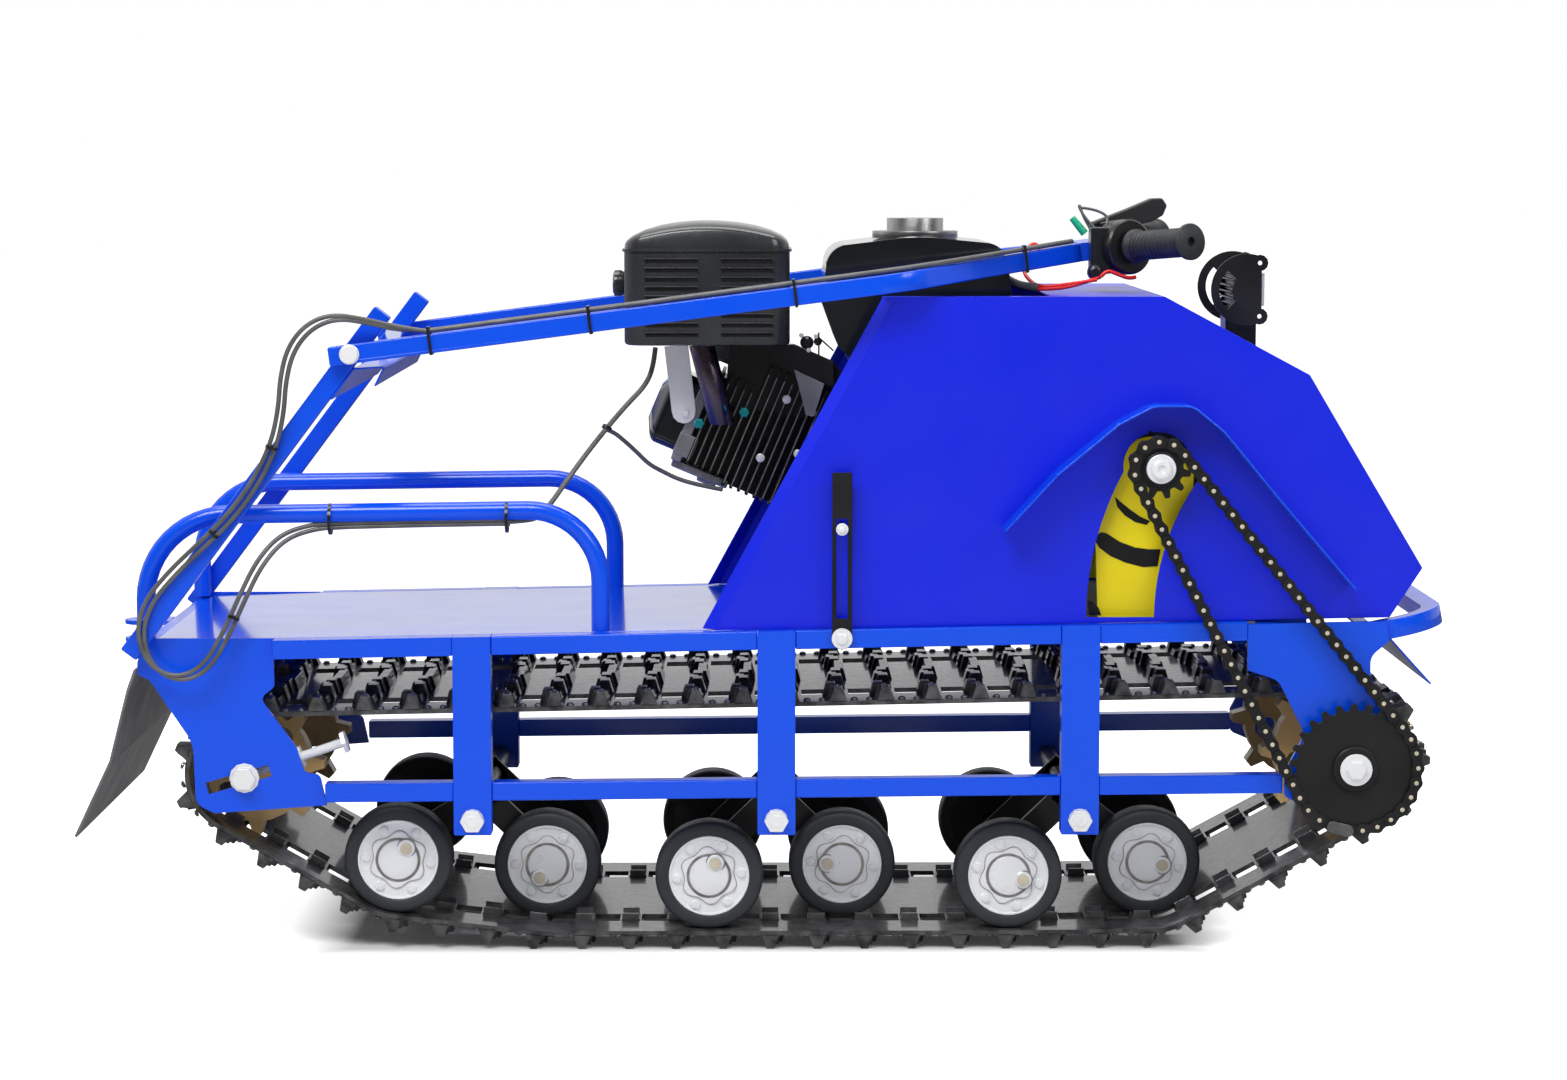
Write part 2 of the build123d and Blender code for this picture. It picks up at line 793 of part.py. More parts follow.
def hood():
    """A folded hood, open at the rear and below, with a slot for the jackshaft."""
    whole, inside = hood_faces()
    shell = slab(whole, -hood_half, hood_half) - slab(inside, -hood_half + hood_thick, hood_half - hood_thick)
    long = hood_open_front_x - hood_rear_top_x + cut_over
    opening = Box(long, 2 * (hood_half - tube), cut_over)
    shell -= Pos(hood_open_front_x - long / 2, 0, hood_top_z) * opening
    band = Circle(slot_outer) - Circle(slot_inner)
    turn = math.radians(slot_top_turn)
    wedge = polygon((0, 0), (-2 * slot_outer, 0),
                    (2 * slot_outer * math.cos(turn), 2 * slot_outer * math.sin(turn)))
    slot = Pos(hood_hinge_x, hood_hinge_z) * (band & wedge)
    slot += Pos(jack_x, jack_z) * Circle((slot_outer - slot_inner) / 2)
    shell -= slab(slot, -hood_half - cut_over, -hood_half + cut_over)
    shell -= both(slab(rear_edge_face(), hood_half - hood_flange, hood_half + cut_over))
    return [shell + both(rear_flange())]


def rear_edge_face():
    """The strip along the hood's rear edge that is folded inward."""
    heel = (hood_heel_x, hood_foot(hood_heel_x))
    return bar_face(heel, (hood_rear_top_x, hood_top_z), 2 * hood_flange)


def rear_flange():
    """The folded strip itself, leaning inward at half a right angle."""
    heel = Vector(hood_heel_x, 0, hood_foot(hood_heel_x))
    head = Vector(hood_rear_top_x, 0, hood_top_z)
    run = (head - heel).normalized()
    side = Vector(run.Z, 0, -run.X)
    place = Plane(origin=heel + Vector(0, hood_half, 0), x_dir=side, z_dir=run)
    far = -1 if place.y_dir.Y > 0 else 1
    bent = polygon((0, far * hood_flange), (hood_thick, far * hood_flange),
                   (hood_flange, far * hood_thick), (hood_flange, 0))
    strip = extrude(place * bent, amount=(head - heel).length)
    floor = slab(polygon((hood_heel_x - cut_over, hood_foot(hood_heel_x)), (hood_toe_x, hood_foot(hood_toe_x)),
                         (hood_toe_x, hood_top_z), (hood_heel_x - cut_over, hood_top_z)), 0, hood_half)
    return strip & floor


guard_shares = [
    (0.0, 0.32), (0.15, 0.63), (0.32, 0.90), (0.42, 1.0), (0.53, 1.0), (0.62, 0.86), (0.78, 0.49), (1.0, 0.0),
]
guard_x = 254
guard_z = 395
guard_long = 367
guard_high = 192


def chain_guard():
    points = [(guard_x + a * guard_long, 0, guard_z + b * guard_high) for a, b in guard_shares]
    strip = swept(points, guard_deep / 2, Rectangle(guard_deep, guard_thick))
    return [Pos(0, -(hood_half + guard_deep / 2), 0) * strip]


latch_x = 85
latch_wide = 21
latch_top = 521
latch_low = 329
latch_thick = 3
latch_pin = 9
latch_slot_wide = 12
latch_slot_share = 0.55
latch_slot_low_share = 0.17


def latch_straps():
    """A slotted strap each side, bolted to the rail, that holds the hood down on its pin."""
    high = latch_top - latch_low
    middle = Pos(latch_x, (latch_top + latch_low) / 2)
    face = middle * Rectangle(latch_wide, high - latch_wide / 2)
    face += disc(latch_x, latch_low + latch_wide / 2, latch_wide)
    slot = latch_low + high * (latch_slot_low_share + latch_slot_share / 2)
    face -= Pos(latch_x, slot) * Rectangle(latch_slot_wide, high * latch_slot_share)
    row = rail_half + fit
    solids = both(slab(face, row, row + latch_thick))
    pin_z = slot + high * latch_slot_share / 2 - latch_pin
    solids += both(pin(latch_x, pin_z, latch_pin, hood_half, row + 2 * latch_thick))
    foot = rail_z(latch_x) - tube / 2
    solids += both(pin(latch_x, foot, latch_wide, row + latch_thick, row + 2 * latch_thick))
    return solids


tensioner_inset = 34
tensioner_row = rail_half - tensioner_inset
tensioner_dia = 10
tensioner_rise_share = 0.34
tensioner_start = 46
tensioner_nut = 54
tensioner_long = 108


def tensioner_bolts():
    """The bolt each side that pulls the idler's axle back along its slot."""
    lean = math.atan(tensioner_rise_share)
    line = Plane(origin=(idler_axle_x, tensioner_row, idler_axle_z), x_dir=(0, 1, 0),
                 z_dir=(math.cos(lean), 0, math.sin(lean)))
    rod = extrude(line * RegularPolygon(tensioner_dia / 2, shaft_sides), amount=tensioner_long)
    rod -= pin(idler_axle_x, idler_axle_z, idler_dia + 2 * fit, 0, rail_half)
    for start, thick in ((tensioner_nut, nut_thick), (tensioner_long, nut_thick / 2)):
        head = Plane(origin=line.origin + line.z_dir * start, x_dir=line.x_dir, z_dir=line.z_dir)
        rod += extrude(head * RegularPolygon(nut_dia / 2 - fit, 6), amount=thick)
    return both(rod)


# Engine, laid out from the crank with the cylinder leaning to the rear
cylinder_start = 96
cylinder_end = 190
cylinder_wide = 130
fin_count = 8
fin_thick = 4
core_wide = 96
head_end = 225
rocker_end = 272
rocker_wide = 84
rocker_chamfer = 22


def leaning():
    return Pos(crank_x, 0, crank_z) * Rot(0, 180 + cylinder_tilt, 0)


def engine_case():
    rear, front = crank_x - case_long / 2, crank_x + case_long / 2
    face = outline([(rear, rail_z(rear) + fit, 0), (front, rail_z(front) + fit, 0),
                    (front, case_top, case_long / 6), (rear, case_top, case_long / 6)])
    beyond = Box(2 * case_long, 3 * case_half, 2 * case_long)
    beyond = leaning() * Pos(cylinder_start + case_long, 0, 0) * beyond
    return [slab(face, -case_half, case_half) - beyond]


def cylinder():
    core = Pos((cylinder_start + cylinder_end) / 2, 0, 0) * Box(cylinder_end - cylinder_start, core_wide, core_wide)
    step = (cylinder_end - cylinder_start) / fin_count
    for i in range(fin_count):
        x = cylinder_start + step * (i + 1 / 2)
        core += Pos(x, 0, 0) * Box(fin_thick, cylinder_wide, cylinder_wide)
    return [leaning() * core]


def head():
    long = head_end - cylinder_end
    block = Pos(cylinder_end + long / 2, 0, 0) * Box(long, cylinder_wide, cylinder_wide)
    return [leaning() * block]


def rocker_cover():
    long = rocker_end - head_end
    block = Pos(head_end + long / 2, 0, 0) * Box(long, rocker_wide, rocker_wide)
    block = chamfer(block.faces().sort_by(Axis.X)[-1].edges(), rocker_chamfer, rocker_chamfer / 2)
    return [leaning() * block]


muffler_x = -148
muffler_lift = 75.5
muffler_z = case_top + muffler_lift
muffler_long = 181
muffler_high = 135
muffler_near = -150
muffler_far = -10
dome_rise_high = 25
pipe_dia = 28
knob_dia = 28
knob_long = 18
slot_rows = 9
slot_column_shares = [0.27, 0.72]
slot_long_share = 0.31
slots_low_share = 0.09
slots_high_share = 0.67
slot_high = 4
slot_deep = 6
strap_x = -92
strap_run = 8
strap_fall = 72
strap_wide = 26
strap_thick = 4


def muffler():
    """The muffler's guard with two columns of cooling slots, and the knob behind it."""
    top = muffler_z + muffler_high
    right = muffler_x + muffler_long
    face = outline([(muffler_x, muffler_z, knob_dia / 2), (right, muffler_z, knob_dia / 2),
                    (right, top - dome_rise_high, dome_rise_high),
                    ((right + muffler_x) / 2, top + dome_rise_high / 10, muffler_long / 2),
                    (muffler_x, top - dome_rise_high, dome_rise_high)])
    solid = slab(face, muffler_near, muffler_far)
    low = muffler_z + muffler_high * slots_low_share
    step = muffler_high * (slots_high_share - slots_low_share) / (slot_rows - 1)
    for centre in slot_column_shares:
        for i in range(slot_rows):
            slot = Pos(muffler_x + muffler_long * centre, low + step * i)
            slot *= Rectangle(muffler_long * slot_long_share, slot_high)
            solid -= slab(slot, muffler_near - cut_over, muffler_near + slot_deep)
    knob = Pos(muffler_x - knob_long / 2, (muffler_near + muffler_far) / 2, muffler_z + muffler_high / 2)
    knob *= Rot(0, 90, 0) * extrude(RegularPolygon(knob_dia / 2, shaft_sides), amount=knob_long / 2, both=True)
    return [solid, knob]


def muffler_strap():
    """The flat strap from the muffler down to the head's side."""
    row = cylinder_wide / 2
    face = bar_face((strap_x, muffler_z), (strap_x + strap_run, muffler_z - strap_fall), strap_wide)
    face += disc(strap_x + strap_run, muffler_z - strap_fall, strap_wide)
    face &= Pos(strap_x, muffler_z - strap_fall) * Rectangle(4 * strap_fall, 2 * strap_fall)
    return [slab(face, -(row + fit + strap_thick), -(row + fit / 4))]


pipe_top_x = -64
pipe_low_x = -42
pipe_low_z = 556
pipe_row = -79.5


def exhaust_pipe():
    top = Vector(pipe_top_x, pipe_row, muffler_z - fit)
    fall = Vector(pipe_low_x, pipe_row, pipe_low_z) - top
    return [extrude(Plane(origin=top) * Circle(pipe_dia / 2), amount=fall.length, dir=fall)]


tank_x = 66
tank_lift = 66.5
tank_z = case_top + tank_lift
tank_long = 205
tank_high = 128
tank_half = 108
tank_shares = [
    (0.00, 0.44, 0.02), (0.10, 0.00, 0.10), (0.90, 0.00, 0.10), (1.00, 0.46, 0.02),
    (0.96, 0.93, 0.12), (0.50, 1.00, 1.00), (0.03, 0.91, 0.12),
]
cap_x = 170
cap_dia = 62
cap_flange_dia = 94
cap_high = 14
cap_flange = 4


def fuel_tank():
    """Two pressed halves: a crowned upper one and a lower one that tapers to its foot."""
    corners = shaped_corners(tank_shares, tank_x, tank_z, tank_long, tank_high)
    return [slab(outline(corners), -tank_half, tank_half)]


def fuel_cap():
    flange = Pos(cap_x, 0, tank_z + tank_high) * Cylinder(cap_flange_dia / 2, 2 * cap_flange)
    cap = Pos(cap_x, 0, tank_z + tank_high + cap_flange + cap_high / 2) * Cylinder(cap_dia / 2, cap_high)
    return [flange + cap - fuel_tank()[0]]


bracket_row = 96
bracket_thick = 4
bracket_shares = [(0.0, 1.0), (0.2, 0.0), (0.85, 0.0), (1.0, 1.0)]
bracket_slot_share = 0.55
bracket_long_share = 0.75


def tank_brackets():
    """Two folded straps that carry the tank above the crankcase."""
    foot = case_top + fit
    high = tank_z - fit - foot
    wide = tank_long * bracket_long_share
    left = tank_x + (tank_long - wide) / 2
    face = polygon(*[(left + a * wide, foot + b * high) for a, b in bracket_shares])
    middle = Pos(left + wide / 2, foot + high / 2) * Rectangle(wide * bracket_slot_share, high / 2)
    return both(slab(face - middle, bracket_row, bracket_row + bracket_thick))


filter_near = 12
filter_far = 146
filter_long = 178
filter_high = 112


def air_filter():
    face = outline([(muffler_x, muffler_z, knob_dia / 2), (muffler_x + filter_long, muffler_z, knob_dia / 2),
                    (muffler_x + filter_long, muffler_z + filter_high, dome_rise_high),
                    (muffler_x, muffler_z + filter_high, dome_rise_high)])
    return [slab(face, filter_near, filter_far)]


carb_x = -34
carb_row = 38
carb_long = 44
carb_wide = 46


def carburettor():
    """The block between the air filter and the head."""
    block = Box(carb_long, carb_wide, muffler_z - crank_z)
    block = Pos(carb_x, carb_row, (muffler_z + crank_z) / 2 - fit) * block
    reach = head_end - cylinder_start
    wide = cylinder_wide + 2 * fit
    below = leaning() * Pos(cylinder_start + reach / 2, 0, case_long / 2) * Box(reach, wide, wide + case_long)
    return [block - below]


recoil_dia = 205
recoil_deep = 60


def recoil_cover():
    """The starter's drum over the cooling fan, stepped in towards its face."""
    step = recoil_deep / 3
    solid = pin(crank_x, crank_z, recoil_dia, case_half, case_half + 2 * step, drum_sides)
    solid += pin(crank_x, crank_z, recoil_dia - 2 * step, case_half + 2 * step, case_half + 3 * step,
                 drum_sides)
    return [solid]


# Headlamp: a finned housing between two round-backed side plates with ears
lamp_x = 552
lamp_z = 701
lamp_radius = 39
lamp_centre_back = 23
lamp_cut = 7
lamp_half = 62
lamp_plate = 3
lamp_ear_back = 11
lamp_ear_rise = 29
lamp_ear = 9
lamp_hole = 5
lamp_window_outer = 30
lamp_window_inner = 16
lamp_window_turn = 45
lamp_lens_high = 36
lamp_lens_thick = 4
lamp_fins = 6
lamp_fin = 2
lamp_body_long = 26
bracket_wide = 44
bracket_foot = 34


def lamp_centre():
    return Pos(lamp_x - lamp_centre_back, lamp_z)


def headlamp():
    """The housing with cooling fins to the rear, which show through the side windows."""
    front = lamp_x - lamp_cut
    high = lamp_lens_high + 2 * lamp_fin
    body = Pos(front - lamp_body_long / 2, lamp_z) * Rectangle(lamp_body_long, high)
    wide = lamp_half - lamp_plate - fit
    solid = slab(body, -wide, wide)
    for i in range(lamp_fins):
        level = lamp_z + high * ((i + 1 / 2) / lamp_fins - 1 / 2)
        rear = front - lamp_body_long - lamp_fin * (lamp_fins / 2 - abs(i + 1 / 2 - lamp_fins / 2))
        fin = Pos((front + rear) / 2 - lamp_fin, level) * Rectangle(front - rear, lamp_fin)
        solid += slab(fin, -wide, wide)
    return [solid + lamp_foot()]


def lamp_plates():
    """The side plates: round behind, cut off straight in front, with an ear above and below."""
    face = lamp_centre() * Circle(lamp_radius)
    face &= Pos(lamp_x - lamp_cut - lamp_radius, lamp_z) * Rectangle(2 * lamp_radius, 2 * lamp_radius)
    ring = Circle(lamp_window_outer) - Circle(lamp_window_inner)
    reach = 2 * lamp_window_outer
    rise = reach * math.tan(math.radians(lamp_window_turn))
    face -= lamp_centre() * (ring & polygon((0, 0), (-reach, rise), (-reach, -rise)))
    for side in (1, -1):
        ear = Pos(lamp_x - lamp_ear, lamp_z + side * lamp_ear_rise)
        face += ear * RegularPolygon(lamp_ear, shaft_sides)
        face -= ear * RegularPolygon(lamp_hole / 2, shaft_sides)
    return both(slab(face, lamp_half - lamp_plate, lamp_half))


def lamp_glass():
    pane = Pos(lamp_x - lamp_cut + lamp_lens_thick / 2, lamp_z) * Rectangle(lamp_lens_thick, lamp_lens_high)
    wide = lamp_half - 2 * lamp_plate
    return [slab(pane, -wide, wide)]


def lamp_foot():
    """The foot under the lamp, on the hood's sloping front."""
    right = lamp_x - lamp_cut
    left = right - bracket_foot
    fall = (hood_top_z - hood_brow_z) / (hood_brow_x - hood_front_top_x)
    low = [hood_top_z - fall * (x - hood_front_top_x) for x in (left, right)]
    top = lamp_z - lamp_lens_high / 2 - lamp_fin
    face = polygon((left, low[0]), (right, low[1]), (right, top), (left, top))
    return slab(face, -bracket_wide / 2, bracket_wide / 2)


# Handle, drawn flat about its hinge line and then tilted. Its neck clears the tank.
handle_reach = (tank_x + tank_long + neck_clear - hinge_x) / math.cos(math.radians(handle_slope))
handle_straight = handle_reach - handle_taper
grip_end_x = handle_reach + grip_forward


def tilted(shape):
    place = Pos(hinge_x, 0, hinge_z) * Rot(0, -handle_slope, 0)
    return [place * shape]


def handle_side(side):
    points = [(-handle_tail, side * handle_row, 0), (handle_straight, side * handle_row, 0),
              (handle_reach, side * handle_neck, 0)]
    path = FilletPolyline(*points, radius=handle_bend)
    start = Plane(origin=path @ 0, x_dir=(0, 1, 0), z_dir=path % 0)
    tube_solid = sweep(start * Rectangle(tube, tube), path=path)
    bore = Pos(0, side * handle_row, 0) * Rot(90, 0, 0) * Cylinder(hinge_dia / 2 + fit, tube + cut_over)
    past = Pos(handle_reach + tube / 2, 0, 0) * Box(2 * tube, 2 * handle_row, 2 * tube)
    return tilted(tube_solid - bore - past)


def hinge_bolts():
    inner = strut_row - tube / 2 - fit
    outer = handle_row + tube / 2 + fit
    bolt = pin(hinge_x, hinge_z, hinge_dia, inner - nut_thick, outer)
    bolt += pin(hinge_x, hinge_z, hinge_head_dia, outer, outer + hinge_head)
    bolt += pin(hinge_x, hinge_z, hinge_head_dia, inner - nut_thick, inner)
    return both(bolt)


def neck_plate():
    block = Pos(handle_reach, 0, 0) * Box(tube, 2 * handle_neck + 2 * tube, tube)
    return tilted(block)


bar_x = handle_reach + tube / 2 + bar_dia / 2 + fit


def handlebar():
    points = [(grip_end_x, -grip_end_row, 0), (bar_x, -bar_straight, 0), (bar_x, bar_straight, 0),
              (grip_end_x, grip_end_row, 0)]
    path = FilletPolyline(*points, radius=bar_dia)
    start = Plane(origin=path @ 0, z_dir=path % 0)
    return tilted(sweep(start * Circle(bar_dia / 2), path=path))


def bar_line(side):
    """The middle of one grip's arm of the bar: its end, and the direction outward."""
    end = Vector(grip_end_x, side * grip_end_row, 0)
    return end, (end - Vector(bar_x, side * bar_straight, 0)).normalized()


def on_bar(side, start, long, face):
    """A face pushed along one arm of the bar, from a distance short of its end."""
    end, run = bar_line(side)
    return extrude(Plane(origin=end - run * start, x_dir=(0, 0, 1), z_dir=run) * face, amount=long)


def grips():
    solids = []
    for side in (-1, 1):
        sleeve = RegularPolygon(grip_dia / 2, wheel_sides) - Circle(bar_dia / 2 + fit / 2)
        cap = RegularPolygon(grip_flange_dia / 2, wheel_sides)
        solid = on_bar(side, grip_long, grip_long, sleeve) + on_bar(side, 0, grip_flange, cap)
        solids += tilted(solid)
    return solids


case_dia = 60
case_thick = 28
case_below = 4
perch_dia = 34
perch_long = 24
lever_long = 118
lever_wide = 24
lever_thick = 7
lever_gap = 38
lever_spread = 16
lever_pivot = 12


def throttle_case():
    """The twist throttle's round housing, against the near grip."""
    bore = Circle(bar_dia / 2 + fit / 2)
    face = Pos(-case_below, 0) * RegularPolygon(case_dia / 2, wheel_sides) - bore
    start = grip_long + fit + case_thick
    return tilted(on_bar(-1, start, case_thick, face))


def brake_perch():
    """The brake lever's clamp on the far arm of the bar."""
    face = RegularPolygon(perch_dia / 2, shaft_sides)
    face += Pos((lever_gap - lever_pivot) / 2, 0) * Rectangle(lever_gap - lever_pivot, perch_dia / 2)
    face -= Circle(bar_dia / 2 + fit / 2)
    return tilted(on_bar(1, grip_long + fit + perch_long, perch_long, face))


def brake_lever():
    """A flat lever above the far grip, wider and further off towards its tip."""
    end, run = bar_line(1)
    root = end - run * (grip_long + perch_long)
    up = Vector(0, 0, 1)
    low = lever_gap - lever_pivot + fit
    high = low + lever_spread
    corners = [(0, low), (lever_long, high), (lever_long + lever_thick, high),
               (lever_long, high + lever_thick), (0, low + lever_thick)]
    place = Plane(origin=root, x_dir=run, z_dir=run.cross(up))
    flip = 1 if place.y_dir.Z > 0 else -1
    face = polygon(*[(a, flip * b) for a, b in corners])
    return tilted(extrude(place * face, amount=lever_wide / 2, both=True))


cable_dia = 9
cable_gap = 0.5
cable_tail = 34
# Rows of x, y, z from the hinge, down the near strut, round below it and along the loop's tube
frame_cable_route = [
    (-400, -258, 668), (-446, -258, 682), (-487, -256, 652), (-495, -243, 590), (-512, -236, 535),
    (-556, -236, 470), (-606, -236, 424), (-648, -236, 372), (-640, -236, 304), (-583, -235, 304),
    (-549, -228, 372), (-520, -208, 436), (-474, -195, 456), (-420, -194, 458.3), (-268, -194, 461.1),
]
engine_lead_route = [
    (-268, -194, 461.1), (-236, -184, 463), (-208, -158, 500), (-165, -128, 556), (-124, -98, 598),
    (-114, -90, 640),
]
lead_dia = 6


def corner_radii(points):
    """The largest smooth arc for each corner: 0.45 of its shorter run over the half turn's tangent."""
    radii = []
    for before, here, after in zip(points, points[1:], points[2:]):
        a, b = Vector(*here) - Vector(*before), Vector(*after) - Vector(*here)
        half = math.radians(a.get_angle(b)) / 2
        radii.append(arc_run_share * min(a.length, b.length) / math.tan(half))
    return radii


arc_run_share = 0.45


def cable(points, dia):
    radii = corner_radii(points)
    print("cable radii", [round(radius) for radius in radii])
    return swept(points, radii, RegularPolygon(dia / 2, cable_sides))


def frame_cables():
    return [cable(frame_cable_route, cable_dia), cable(engine_lead_route, lead_dia)]


def handle_cables():
    """The bundle tied along the top of the near handle tube."""
    above = (tube + cable_dia) / 2 + cable_gap
    points = [(cable_tail, -handle_row, above), (handle_straight, -handle_row, above),
              (handle_reach - tube, -(handle_neck + tube), above)]
    return tilted(swept(points, handle_bend, RegularPolygon(cable_dia / 2, cable_sides)))


def each(makers):
    return [solid for make in makers for solid in make]


nodes = {
    "track": track,
    "bogies": lambda: each(bogie(i) for i in range(len(posts_x))),
    "wheel_tyres": lambda: each(both(tyre(*wheel)) for wheel in wheels),
    "wheel_rims": lambda: each(both(rim(*wheel)) for wheel in wheels),
    "drive_sprockets": lambda: sprocket_pair(drive_axle_x, drive_axle_z, drive_teeth, drive_radius, axle_dia),
    "idler_sprockets": lambda: sprocket_pair(idler_axle_x, idler_axle_z, idler_teeth, idler_radius, idler_dia),
    "drive_axle": drive_axle,
    "idler_axle": idler_axle,
    "rails": lambda: (rails(rail_z, top_rail_rear, top_rail_front)
                      + rails(low_rail_z, low_rail_rear, low_rail_front)),
    "posts": posts,
    "post_bolts": post_bolts,
    "rear_plates": rear_plates,
    "front_plates": front_plates,
    "cross_members": cross_members,
    "deck": deck,
    "luggage_loops": lambda: each(luggage_loop(side) for side in (-1, 1)),
    "struts": struts,
    "strut_brace": strut_brace,
    "bumper": bumper,
    "front_flap": front_flap,
    "rear_flap": rear_flap,
    "tow_hitch": tow_hitch,
    "chain": chain,
    "chain_wheel": lambda: chain_disc(drive_axle_x, drive_axle_z, big_radius, big_teeth, axle_dia),
    "chain_pinion": lambda: chain_disc(jack_x, jack_z, small_radius, small_teeth, jack_dia),
    "jackshaft": jackshaft,
    "jack_supports": jack_supports,
    "pulleys": pulleys,
    "drive_belt": drive_belt,
    "hood": hood,
    "chain_guard": chain_guard,
    "latch_straps": latch_straps,
    "tensioner_bolts": tensioner_bolts,
    "engine_case": engine_case,
    "cylinder": cylinder,
    "cylinder_head": head,
    "rocker_cover": rocker_cover,
    "muffler": muffler,
    "muffler_strap": muffler_strap,
    "exhaust_pipe": exhaust_pipe,
    "fuel_tank": fuel_tank,
    "fuel_cap": fuel_cap,
    "tank_brackets": tank_brackets,
    "air_filter": air_filter,
    "carburettor": carburettor,
    "recoil_cover": recoil_cover,
    "headlamp": headlamp,
    "lamp_plates": lamp_plates,
    "lamp_lens": lamp_glass,
    "handle_tubes": lambda: handle_side(-1) + handle_side(1),
    "handle_neck": neck_plate,
    "hinge_bolts": hinge_bolts,
    "handlebar": handlebar,
    "grips": grips,
    "throttle_case": throttle_case,
    "brake_perch": brake_perch,
    "brake_lever": brake_lever,
    "frame_cables": frame_cables,
    "handle_cables": handle_cables,
}
os.makedirs("parts", exist_ok=True)
for name, make in nodes.items():
    made = make()
    export_step(Compound(children=made if isinstance(made, list) else [made]), f"parts/{name}.step")
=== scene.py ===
import json
import math

import bmesh
import bpy
from mathutils import Matrix, Vector


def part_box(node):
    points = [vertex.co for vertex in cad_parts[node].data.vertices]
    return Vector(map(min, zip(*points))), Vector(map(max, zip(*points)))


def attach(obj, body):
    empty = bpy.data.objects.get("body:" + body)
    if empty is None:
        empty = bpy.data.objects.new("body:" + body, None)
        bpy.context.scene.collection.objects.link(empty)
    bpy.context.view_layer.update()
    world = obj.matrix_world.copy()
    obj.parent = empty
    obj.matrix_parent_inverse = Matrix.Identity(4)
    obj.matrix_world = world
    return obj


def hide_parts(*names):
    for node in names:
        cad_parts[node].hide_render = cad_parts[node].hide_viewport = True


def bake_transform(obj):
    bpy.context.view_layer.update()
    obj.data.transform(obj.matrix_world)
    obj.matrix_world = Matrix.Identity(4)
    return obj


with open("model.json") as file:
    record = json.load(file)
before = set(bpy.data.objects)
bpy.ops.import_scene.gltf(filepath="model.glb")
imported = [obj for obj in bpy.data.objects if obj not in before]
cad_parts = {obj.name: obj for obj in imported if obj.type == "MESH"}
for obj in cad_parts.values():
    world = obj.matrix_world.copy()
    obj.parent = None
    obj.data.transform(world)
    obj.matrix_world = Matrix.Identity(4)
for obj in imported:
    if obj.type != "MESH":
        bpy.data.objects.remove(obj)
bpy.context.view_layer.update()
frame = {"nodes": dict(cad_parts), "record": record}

# Camera, at the photograph's place and angle: metres, degrees and millimetres of lens
camera_at = Vector((-0.0026, -3.9825, 0.8375))
camera_pitch = 5.969
camera_yaw = 0.398
camera_lens = 82.706
sensor_width = 36
far_clip = 60

# Colours, as they look in the photograph
frame_blue = (0.0, 0.082, 0.84)
hood_blue = (0.0, 0.014, 0.76)

# Places in millimetres, the same as the CAD's
belt_thick = 5
lug_pitch = 50.5
lug_count = 56
track_half = 190
window_row = 120
window_half = 18
wheel_radius = 58
# The wheels' X, Z and how far their outer faces stand from the middle
wheels = [(-389, 96, 182), (-233, 78, 118), (-56, 78, 182), (88, 78, 118), (265, 78, 182),
          (421, 80, 118)]
bogie_pivots = (-305, 16, 337)
bogie_rise = 147
bogie_shaft_half = 203
bogie_bolt_row = 227
# Nearer the middle than the CAD's arms, so that the inner wheels' rims show
bogie_arm_row = 74
# X, Z and the radius of the belt's middle round it
drive = (625, 204, 72.336)
idler = (-547.582, 190, 64.299)
jack = (417, 521)
chain_row = 242
link_count = 66
joining_link = 3
big_radius = 65.851
small_radius = 28.174
hinge = Vector((-426.369, 0, 641))
hinge_bolt_row = 252.6
handle_slope = 7.4
handle_row = 242
crank = Vector((134, 0, 471.966))
cylinder_tilt = 23
handle_turn = Matrix.Rotation(math.radians(-handle_slope), 4, "Y")
handle_place = Matrix.Translation(hinge) @ handle_turn
engine_turn = Matrix.Rotation(math.radians(180 + cylinder_tilt), 4, "Y")
engine_place = Matrix.Translation(crank) @ engine_turn


def build_camera():
    data = bpy.data.cameras.new("camera")
    data.lens = camera_lens
    data.sensor_width = sensor_width
    data.clip_end = far_clip
    camera = bpy.data.objects.new("camera", data)
    bpy.context.scene.collection.objects.link(camera)
    camera.location = camera_at
    camera.rotation_euler = (math.radians(90 - camera_pitch), 0, math.radians(-camera_yaw))
    bpy.context.scene.camera = camera


